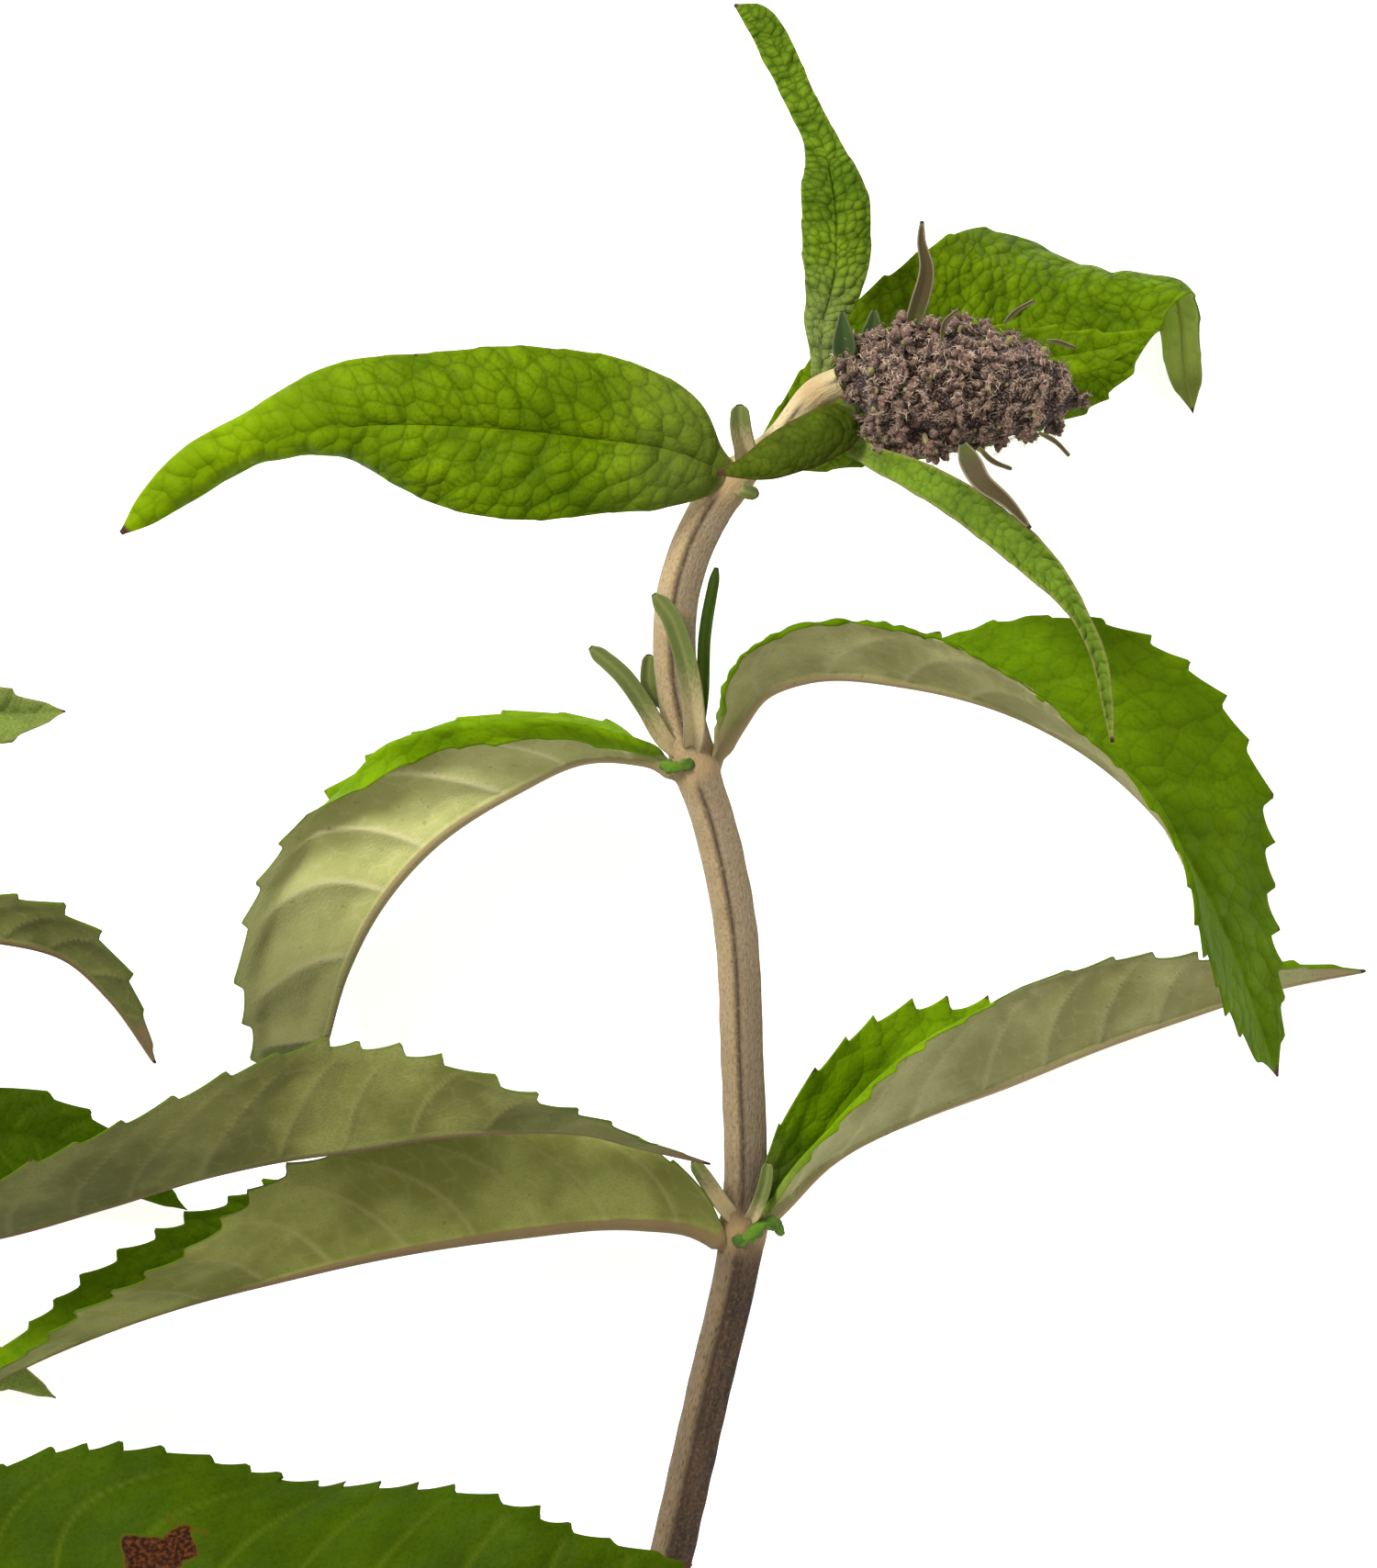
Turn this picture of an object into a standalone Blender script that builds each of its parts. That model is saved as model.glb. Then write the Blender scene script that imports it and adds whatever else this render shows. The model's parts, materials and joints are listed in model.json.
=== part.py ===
"""A cut flowering branch of butterfly bush, lying on a level surface.

The branch is drawn as it lies: +X to the right, +Y towards the flower head and +Z up.
Shapes are worked out in millimetres and written to the meshes in metres.
"""
import math

import bmesh
import bpy
import numpy as np
from mathutils import Matrix, Vector

# Driving dimensions, in millimetres
STEM_RADIUS = 2.95
STEM_FOOT_RADIUS = 3.5
UPPER_STEM_RADIUS = 2.83
PEDUNCLE_RADIUS = 1.75
PEDUNCLE_TOP_RADIUS = 1.93
SIDE_STEM_RADIUS = 2.5
SIDE_TIP_RADIUS = 1.1
STEM_SIDES = 12
STEM_SQUARENESS = 0.045
STATION_SPACING = 9.0
LEAST_STATION_GAP = 1.4
LEAST_END_GAP = 1.0
NODE_SWELLING = 0.16
NODE_REACH = 3.0
SEAT_GAP = 0.3
LEAF_THICKNESS = 1.25
LEAFLET_THICKNESS = 0.7
PETIOLE_HALF_WIDTH = 1.3
PETIOLE_SHARE = 0.22
TIP_HALF_WIDTH = 0.3
TOOTH_HEIGHT = 1.3
FULL_TOOTH_HALF_WIDTH = 8.0
TOOTH_PITCH = 8.0
TOOTH_LEAN = 0.68
EASING_HALF_WIDTH = 4.0
HEAD_RADIUS = 9.2
CORE_INSET = 1.1
LEAST_CORE_RADIUS = 0.7
CYME_INSET = 1.0
CYME_RADIUS = 2.6
CYME_SPACING = 3.3
METRES = 0.001

# Shares of a stem's or a blade's length
FOOT_END_SHARE = 0.08
TAPER_END_SHARE = 0.3
PEDUNCLE_START = 0.02
PEDUNCLE_END = 0.03
PETIOLE_END_SHARE = 0.12
FIRST_TOOTH_SHARE = 0.09
LAST_TOOTH_SHARE = 0.96

# The stem's axis from the cut end to the foot of the flower head
MAIN_AXIS = [
    (-19.5, -186, 3.6), (-15.5, -160, 5.5), (-8, -130, 9), (-2.4, -106, 12), (2.7, -83.3, 15.5),
    (7.4, -61, 19), (7.3, -37, 23.5), (6.2, -18.3, 27), (3.6, -5.8, 29), (0.8, 3, 31),
    (-1.9, 16.8, 33.5), (-1.2, 26.8, 35), (2.8, 36.8, 36.6), (5.9, 41.1, 37.2),
    (12.5, 47.4, 38.8), (17.5, 53, 40), (20.6, 54.6, 40.6),
]
# The side shoot's axis from its fork on the main stem to its growing tip
SIDE_AXIS = [
    (-15.5, -160, 5.5), (-32, -152, 6.5), (-62, -143.5, 8), (-90, -133, 9), (-107, -116, 10.5),
    (-116, -93, 13), (-122, -68, 17), (-126, -21, 24), (-125, 24, 31), (-122, 48, 36),
]
# Where each pair of leaves springs, as points close to the axes
MAIN_NODES = [(-15.5, -160), (7.6, -61), (0.7, 3), (5.9, 41.1), (17.5, 53)]
SIDE_NODES = [(-107, -116), (-122, -68), (-126, -21), (-125, 24)]
SIDE_SPLIT = 0.36

# The flower head's axis and its outline, as shares of its length and of HEAD_RADIUS
HEAD_AXIS = [(21.4, 54.3, 41), (37, 54, 41), (53.4, 52.4, 39)]
HEAD_SHARES = [0.0, 0.05, 0.15, 0.35, 0.55, 0.7, 0.84, 0.94, 1.0]
HEAD_OUTLINE = [0.28, 0.48, 0.84, 0.98, 0.94, 0.86, 0.66, 0.4, 0.12]

# A blade's half width from its stalk to its tip, as shares of its length and of its widest part
LEAF_SHARES = [0.0, 0.05, 0.1, 0.2, 0.32, 0.45, 0.6, 0.75, 0.87, 0.95, 1.0]
LEAF_OUTLINE = [0.0, 0.02, 0.22, 0.66, 0.93, 1.0, 0.93, 0.68, 0.38, 0.16, 0.0]
BROAD_OUTLINE = [0.0, 0.3, 0.62, 0.9, 1.0, 0.98, 0.86, 0.6, 0.3, 0.12, 0.0]
FULL_OUTLINE = [0.0, 0.12, 0.5, 0.88, 1.0, 0.98, 0.86, 0.6, 0.3, 0.12, 0.0]
ARCHED_NEAR = [0.1, 0.2, 0.3, 0.58, 0.7, 0.82, 0.95, 0.85, 0.6, 0.28, 0.0]
ARCHED_FAR = [0.0, 0.1, 0.2, 0.38, 0.5, 0.85, 1.0, 0.8, 0.5, 0.24, 0.0]
DROOPING_NEAR = [0.0, 0.1, 0.3, 0.6, 0.85, 0.84, 0.82, 0.72, 0.5, 0.26, 0.0]
DROOPING_FAR = [0.0, 0.1, 0.3, 0.6, 0.8, 0.8, 0.8, 0.75, 0.5, 0.26, 0.0]
LONG_TIP_LOWER = [0.1, 0.42, 0.64, 0.8, 1.0, 0.94, 0.52, 0.38, 0.28, 0.14, 0.0]
LONG_TIP_UPPER = [0.1, 0.24, 0.62, 0.92, 0.97, 0.84, 0.7, 0.36, 0.25, 0.14, 0.0]
CROSSING_OUTLINE = [0.0, 0.3, 0.62, 0.9, 1.0, 0.98, 0.88, 0.5, 0.26, 0.12, 0.0]
HOOKED_UPPER = [0.0, 0.12, 0.26, 0.47, 0.76, 0.9, 0.9, 0.6, 0.21, 0.15, 0.0]
HOOKED_LOWER = [0.0, 0.1, 0.2, 0.5, 0.7, 0.86, 0.98, 0.62, 0.21, 0.15, 0.0]
TWISTED_OUTLINE = [0.25, 0.27, 0.33, 0.62, 0.98, 0.93, 0.45, 0.4, 0.44, 0.32, 0.0]
SLENDER_OUTLINE = [0.3, 0.35, 0.42, 0.6, 0.82, 0.93, 0.95, 0.42, 0.33, 0.18, 0.0]
LOW_LEFT_UPPER = [0.0, 0.3, 0.62, 0.88, 0.9, 0.88, 0.8, 0.6, 0.3, 0.12, 0.0]
RISING_FAR = [0.0, 0.3, 0.48, 0.72, 0.85, 0.8, 0.8, 0.6, 0.3, 0.12, 0.0]
RISING_NEAR = [0.0, 0.3, 0.62, 0.9, 0.96, 0.9, 0.8, 0.5, 0.2, 0.1, 0.0]
LEAFLET_OUTLINE = [0.3, 0.5, 0.7, 0.9, 1.0, 1.0, 0.95, 0.8, 0.6, 0.4, 0.0]

COLOURS = {
    "bark": ((0.33, 0.25, 0.16), 0.8),
    "leaf": ((0.09, 0.24, 0.02), 0.55),
    "soft_leaf": ((0.16, 0.26, 0.07), 0.7),
    "head": ((0.13, 0.08, 0.07), 0.85),
}


def clear_scene():
    for old in list(bpy.data.objects):
        bpy.data.objects.remove(old, do_unlink=True)


def make_material(name):
    colour, roughness = COLOURS[name]
    material = bpy.data.materials.new(name)
    material.use_nodes = True
    shader = material.node_tree.nodes["Principled BSDF"]
    shader.inputs["Base Color"].default_value = (*colour, 1.0)
    shader.inputs["Roughness"].default_value = roughness
    shader.inputs["Metallic"].default_value = 0.0
    material.diffuse_color = (*colour, 1.0)
    return material


def curve(knots, values, at):
    """Read a smooth curve through the values at the given places along the knots."""
    knots = np.asarray(knots, float)
    values = np.asarray(values, float)
    at = np.asarray(at, float)
    slopes = np.gradient(values, knots, axis=0)
    start = np.clip(np.searchsorted(knots, at, side="right") - 1, 0, len(knots) - 2)
    span = knots[start + 1] - knots[start]
    t = (at - knots[start]) / span
    if values.ndim == 2:
        t = t[:, None]
        span = span[:, None]
    rise = t * t * (3 - 2 * t)
    bend_in = t * (1 - t) ** 2
    bend_out = t * t * (t - 1)
    level = values[start] * (1 - rise) + values[start + 1] * rise
    return level + span * (slopes[start] * bend_in + slopes[start + 1] * bend_out)


def path_knots(points):
    points = np.asarray(points, float)
    steps = np.linalg.norm(np.diff(points, axis=0), axis=1)
    return np.concatenate(([0.0], np.cumsum(steps))) / steps.sum(), steps.sum()


def along(points, at):
    knots, _ = path_knots(points)
    return curve(knots, points, at)


def unit(vectors):
    return vectors / np.linalg.norm(vectors, axis=-1, keepdims=True)


def frames(points, stations):
    """Tangent, leftward and upward directions along a path, seen from above."""
    middle = along(points, stations)
    ahead = along(points, np.clip(stations + 0.01, 0, 1))
    behind = along(points, np.clip(stations - 0.01, 0, 1))
    tangent = unit(ahead - behind)
    left = unit(np.cross((0, 0, 1), tangent))
    return middle, tangent, left, np.cross(tangent, left)


def nearest_share(axis, place):
    shares = np.linspace(0, 1, 2001)
    flat = along(axis, shares)[:, :2]
    return shares[np.argmin(np.linalg.norm(flat - np.array(place), axis=1))]


def add_object(name, vertices, faces, material, smooth=True):
    mesh = bpy.data.meshes.new(name)
    mesh.from_pydata([tuple(point) for point in np.asarray(vertices) * METRES], [], faces)
    work = bmesh.new()
    work.from_mesh(mesh)
    bmesh.ops.recalc_face_normals(work, faces=work.faces)
    bmesh.ops.triangulate(work, faces=work.faces)
    work.to_mesh(mesh)
    work.free()
    if smooth:
        mesh.shade_smooth()
        mesh.set_sharp_from_angle(angle=math.radians(40))
    thing = bpy.data.objects.new(name, mesh)
    bpy.context.scene.collection.objects.link(thing)
    if material:
        mesh.materials.append(material)
    return thing


def tube_faces(rings, sides):
    faces = [tuple(range(sides)), tuple(range((rings - 1) * sides, rings * sides))]
    for ring in range(rings - 1):
        for side in range(sides):
            after = (side + 1) % sides
            low = ring * sides
            high = low + sides
            faces.append((low + side, low + after, high + after, high + side))
    return faces


def stem_mesh(axis, shares, radii, nodes, grown=0.0):
    """A four-angled tube that swells at its nodes."""
    middle, tangent, left, up = frames(axis, shares)
    middle[0] -= tangent[0] * grown
    middle[-1] += tangent[-1] * grown
    swell = np.zeros(len(shares))
    _, length = path_knots(axis)
    for place in nodes:
        distance = (shares - nearest_share(axis, place)) * length
        swell = np.maximum(swell, NODE_SWELLING * np.exp(-((distance / NODE_REACH) ** 2)))
    angles = np.arange(STEM_SIDES) * 2 * math.pi / STEM_SIDES
    angular = 1 + STEM_SQUARENESS * np.cos(4 * angles)
    radius = (radii * (1 + swell))[:, None] * angular[None, :] + grown
    points = middle[:, None, :]
    points = points + left[:, None, :] * (radius * np.cos(angles))[:, :, None]
    points = points + up[:, None, :] * (radius * np.sin(angles))[:, :, None]
    return points.reshape(-1, 3), tube_faces(len(shares), STEM_SIDES)


def stem_shares(axis, nodes, start=0.0, end=1.0):
    """Even stations along the stem, with a few close ones at each node."""
    _, length = path_knots(axis)
    count = max(3, int((end - start) * length / STATION_SPACING))
    shares = list(np.linspace(start, end, count))
    for place in nodes:
        centre = nearest_share(axis, place)
        shares += [centre + step * NODE_REACH / length for step in (-1.3, -0.5, 0.5, 1.3)]
    kept = [start]
    for share in sorted(shares):
        far_enough = share - kept[-1] > LEAST_STATION_GAP / length
        if far_enough and end - share > LEAST_END_GAP / length:
            kept.append(share)
    return np.array(kept + [end])


def main_radii(shares):
    node_one = nearest_share(MAIN_AXIS, MAIN_NODES[3])
    knots = [0.0, FOOT_END_SHARE, TAPER_END_SHARE, node_one - PEDUNCLE_START,
             node_one + PEDUNCLE_END, 1.0]
    sizes = [STEM_FOOT_RADIUS, STEM_FOOT_RADIUS, STEM_RADIUS, UPPER_STEM_RADIUS,
             PEDUNCLE_RADIUS, PEDUNCLE_TOP_RADIUS]
    return np.interp(shares, knots, sizes)


def side_radii(shares):
    return SIDE_STEM_RADIUS + (SIDE_TIP_RADIUS - SIDE_STEM_RADIUS) * shares


def add_cutter(name, axis, radii_of, nodes):
    shares = stem_shares(axis, nodes)
    points, faces = stem_mesh(axis, shares, radii_of(shares), nodes, SEAT_GAP)
    cutter = add_object(name, points, faces, None)
    cutter.hide_render = True
    cutter.display_type = "WIRE"
    return cutter


def cut_by(thing, cutter):
    cut = thing.modifiers.new("seat", "BOOLEAN")
    cut.operation = "DIFFERENCE"
    cut.solver = "EXACT"
    cut.object = cutter


def add_stems(materials):
    """The main stem, and the side shoot in two lengths that meet at its bend."""
    shares = stem_shares(MAIN_AXIS, MAIN_NODES)
    points, faces = stem_mesh(MAIN_AXIS, shares, main_radii(shares), MAIN_NODES)
    add_object("main_stem", points, faces, materials["bark"])
    main_cutter = add_cutter("main_stem_cutter", MAIN_AXIS, main_radii, MAIN_NODES)
    side_cutter = add_cutter("side_stem_cutter", SIDE_AXIS, side_radii, SIDE_NODES)
    _, length = path_knots(SIDE_AXIS)
    half_gap = SEAT_GAP / 2 / length
    for name, start, end in (("side_stem_low", 0.0, SIDE_SPLIT - half_gap),
                             ("side_stem_high", SIDE_SPLIT + half_gap, 1.0)):
        shares = stem_shares(SIDE_AXIS, SIDE_NODES, start, end)
        points, faces = stem_mesh(SIDE_AXIS, shares, side_radii(shares), SIDE_NODES)
        stem = add_object(name, points, faces, materials["bark"])
        if start == 0.0:
            cut_by(stem, main_cutter)
    return main_cutter, side_cutter


def half_blade(width, angle, curl, across):
    """Offsets of a half blade, leftwards and upwards, from its rib out to its margin."""
    bend = np.where(np.abs(curl) < 1e-3, 1e-3, curl)[:, None]
    first = (angle - curl / 2)[:, None]
    turned = first + bend * across[None, :]
    sideways = width[:, None] / bend * (np.sin(turned) - np.sin(first))
    upwards = -width[:, None] / bend * (np.cos(turned) - np.cos(first))
    return sideways, upwards


def leaf_stations(length, teeth):
    """Stations from stalk to tip: two for each tooth, a valley and a peak."""
    if not teeth:
        return np.linspace(0, 1, 7), np.zeros(7)
    first = FIRST_TOOTH_SHARE
    last = LAST_TOOTH_SHARE
    count = max(5, int((last - first) * length / TOOTH_PITCH))
    stations = [0.0, first / 2]
    peaks = [0.0, 0.0]
    for tooth in range(count):
        valley = first + (last - first) * tooth / count
        peak = first + (last - first) * (tooth + TOOTH_LEAN) / count
        stations += [valley, peak]
        peaks += [0.0, 1.0]
    return np.array(stations + [last, 1.0]), np.array(peaks + [0.0, 0.0])


def leaf_grid(path, width, left, right, curl, outline, teeth, columns):
    """The blade's points, row by row from stalk to tip and from its left margin to its right."""
    _, length = path_knots(path)
    stations, peaks = leaf_stations(length, teeth)
    middle, _, leftward, upward = frames(path, stations)
    narrow = min(PETIOLE_HALF_WIDTH, PETIOLE_SHARE * width) if teeth else TIP_HALF_WIDTH
    least = np.interp(stations, [0, PETIOLE_END_SHARE], [narrow, TIP_HALF_WIDTH])
    across = np.linspace(0, 1, columns + 1)
    left_outline, right_outline = outline if isinstance(outline, tuple) else (outline, outline)
    rows = []
    for angles, sign, side_outline in ((left, 1, left_outline), (right, -1, right_outline)):
        half = np.maximum(width * curve(LEAF_SHARES, side_outline, stations), least)
        half = half + peaks * TOOTH_HEIGHT * np.minimum(1, half / FULL_TOOTH_HALF_WIDTH)
        easing = np.minimum(1, half / EASING_HALF_WIDTH)
        places = np.linspace(0, 1, len(angles))
        angle = np.radians(curve(places, angles, stations))
        bend = np.radians(curl) * easing * sign
        sideways, upwards = half_blade(half, angle, bend, across)
        side = middle[:, None, :] + leftward[:, None, :] * sideways[:, :, None]
        rows.append(side + upward[:, None, :] * upwards[:, :, None])
    return np.concatenate((rows[0][:, :0:-1], rows[1]), axis=1)


def blade_normals(grid):
    """Directions out of the blade's upper side, and how far to stretch each at the rib."""
    down = np.gradient(grid, axis=0)
    over = np.gradient(grid, axis=1)
    normal = unit(np.cross(over, down))
    rib = grid.shape[1] // 2
    beside = unit(normal[:, rib - 1] + normal[:, rib + 1])
    normal[:, rib] = beside
    stretch = np.ones(grid.shape[:2])
    lean = np.sum(beside * normal[:, rib + 1], axis=1)
    stretch[:, rib] = 1 / np.maximum(lean, 0.6)
    return normal, stretch


def solid_from_grid(grid, thickness, upwards):
    """Close a blade into a solid of even thickness, on the side where it can't fold over itself."""
    normal, stretch = blade_normals(grid)
    away = normal * (stretch * thickness * (1 if upwards else -1))[:, :, None]
    rows, columns = grid.shape[:2]
    points = np.concatenate((grid.reshape(-1, 3), (grid + away).reshape(-1, 3)))
    other = rows * columns
    faces = []
    for row in range(rows - 1):
        for column in range(columns - 1):
            corner = row * columns + column
            quad = (corner, corner + 1, corner + columns + 1, corner + columns)
            faces.append(quad)
            faces.append(tuple(other + index for index in reversed(quad)))
        for column in (0, columns - 1):
            here = row * columns + column
            after = here + columns
            faces.append((here, after, other + after, other + here))
    for row in (0, rows - 1):
        for column in range(columns - 1):
            here = row * columns + column
            faces.append((here, here + 1, other + here + 1, other + here))
    return points, faces


def add_leaf(name, material, cutter, path, width, left, right, curl=0.0, outline=None,
             teeth=True, columns=2, upwards=False):
    outline = LEAF_OUTLINE if outline is None else outline
    grid = leaf_grid(path, width, left, right, curl, outline, teeth, columns)
    thickness = LEAF_THICKNESS if teeth else LEAFLET_THICKNESS
    points, faces = solid_from_grid(grid, thickness, upwards)
    leaf = add_object(name, points, faces, material)
    if cutter:
        cut_by(leaf, cutter)
    return leaf


def add_main_leaves(materials, cutter):
    """The pairs on the main stem, from the lowest node to the foot of the flower head."""
    green = materials["leaf"]
    add_leaf("leaf_3_right", green, cutter, width=16.5, outline=(RISING_FAR, RISING_NEAR),
             path=[(7.8, -60.8, 19), (11.9, -57.5, 18.5), (18.8, -51.4, 17.5), (31.2, -45.3, 16.5),
                   (43.8, -40.6, 15.5), (56.2, -35.7, 14), (68.8, -31.4, 11.5), (81.2, -27.6, 7.5),
                   (93.1, -25.4, 3)],
             left=(45, 34, -12, -45, -55, -55, -40), right=(75, 72, 50, 34, 32, 45, 65), curl=20)
    add_leaf("leaf_3_left", green, cutter, width=16, outline=FULL_OUTLINE,
             path=[(7.8, -61.4, 19), (1.2, -60.2, 21), (-6.2, -59.6, 23), (-23.8, -61, 26),
                   (-40, -63.5, 28), (-56.2, -67.2, 28), (-68.8, -70.6, 27), (-81.2, -75, 24),
                   (-93.8, -80.8, 20), (-101, -85, 17)],
             left=(120, 155, 165, 160, 120, 112, 110), right=(230, 215, 210, 212, 212, 205, 205),
             curl=15)
    add_leaf("leaf_2_right", green, cutter, width=18.5, outline=(ARCHED_FAR, ARCHED_NEAR),
             path=[(0.9, 2, 31), (4, 3.2, 33), (5.8, 8, 34), (9.4, 12.4, 35.5), (16, 14.8, 38),
                   (30, 14, 40), (44, 10, 41), (56.2, 3, 40), (65.4, -6, 38), (73.4, -20.5, 34),
                   (80.6, -39.8, 28)],
             left=(-55, -62, -50, -22, -28, -52, -50), right=(40, 45, 58, 80, 88, 86, 80), curl=15)
    add_leaf("leaf_2_left", green, cutter, width=19, outline=(DROOPING_NEAR, DROOPING_FAR),
             path=[(0.9, 2, 31), (-7.5, 4, 30), (-13.8, 3.9, 29), (-24, -0.6, 27),
                   (-35.4, -8.3, 24), (-43.1, -17.5, 21), (-47.2, -25.8, 18.5), (-50, -35.5, 15),
                   (-54.5, -46, 8)],
             left=(110, 118, 136, 166, 174, 168, 160), right=(250, 248, 228, 205, 208, 262, 270),
             curl=8)
    add_leaf("leaf_1_left", green, cutter, width=12.2, columns=3, upwards=True, curl=-70,
             outline=(LONG_TIP_LOWER, LONG_TIP_UPPER),
             path=[(5.9, 41.5, 38), (3.2, 43, 40.5), (-1.2, 44.8, 43), (-13.8, 46.8, 46.5),
                   (-28.8, 48.3, 48), (-43.8, 48.6, 47), (-56.2, 47, 44), (-67.5, 41.8, 40),
                   (-76.9, 34.2, 36)],
             left=(-10, -5, -5, -20, -60, -60, -20), right=(190, 185, 182, 182, 190, 195, 200))
    add_leaf("leaf_1_right", green, cutter, width=14, outline=(HOOKED_UPPER, HOOKED_LOWER),
             path=[(6.2, 41.8, 37), (12.5, 45.5, 31), (23.8, 51.8, 23), (36.2, 57.4, 18),
                   (45, 62, 16), (53.8, 66.5, 14), (61.2, 69.2, 12), (65.6, 68.5, 9),
                   (67.2, 63.5, 7), (67.8, 58, 5.5), (69.4, 50.9, 4)],
             left=(0, 0, 0, 0, -62, -130, -175), right=(220, 222, 200, 180, 178, 60, 5),
             curl=-15, upwards=True)
    add_leaf("leaf_0_left", green, cutter, width=4.5, curl=-70, columns=3, upwards=True,
             outline=TWISTED_OUTLINE,
             path=[(17.9, 53, 40), (18.1, 58, 38.5), (18.3, 62.5, 37), (19.2, 66, 36), (20, 70, 35),
                   (20.1, 75, 33.5), (19.8, 80, 32), (18.6, 86, 29), (17.7, 88.4, 27.8),
                   (15.3, 93.3, 25), (12.2, 100, 22), (9.5, 104.6, 19.8), (6.6, 106.4, 18)],
             left=(-10, -10, -10, -10, -20, -10, -10), right=(190, 190, 190, 190, 200, 190, 190))
    add_leaf("leaf_0_right", green, cutter, width=2.5, curl=70, columns=3, outline=SLENDER_OUTLINE,
             path=[(17.5, 52.6, 40), (20.6, 47.4, 41), (24.4, 44.6, 43.5), (30.2, 41.9, 48),
                   (35.6, 38.9, 52), (41, 35, 55.5), (45.5, 31.3, 57.5), (52.6, 22.7, 60.3),
                   (55.3, 16.6, 61), (56.1, 12.4, 61.3), (57, 5.6, 61.5)],
             left=(20, 20, 20, 20, 30, 30, 30), right=(160, 160, 160, 160, 150, 150, 150))
    add_leaf("leaf_00_front", materials["soft_leaf"], cutter, width=3.5, curl=-30, upwards=True,
             outline=BROAD_OUTLINE,
             path=[(18, 52.6, 40.5), (18.8, 48.8, 46), (15.2, 46.9, 48.5), (9.8, 44.4, 48),
                   (4.2, 42.2, 45.5)],
             left=(-10, -20, -20, -20, -10), right=(200, 205, 210, 200, 190))
    add_leaf("leaf_00_back", green, cutter, width=5,
             path=[(19.6, 54.3, 40.4), (19.6, 54.6, 34), (21.5, 55.6, 28.5), (27, 57, 26),
                   (38, 57.5, 25.5), (48, 58, 26), (57, 59.5, 27.5), (64.8, 62, 30)],
             left=(5, 5, 5, 5, 5), right=(175, 175, 175, 175, 175), curl=-15, upwards=True)


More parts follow.
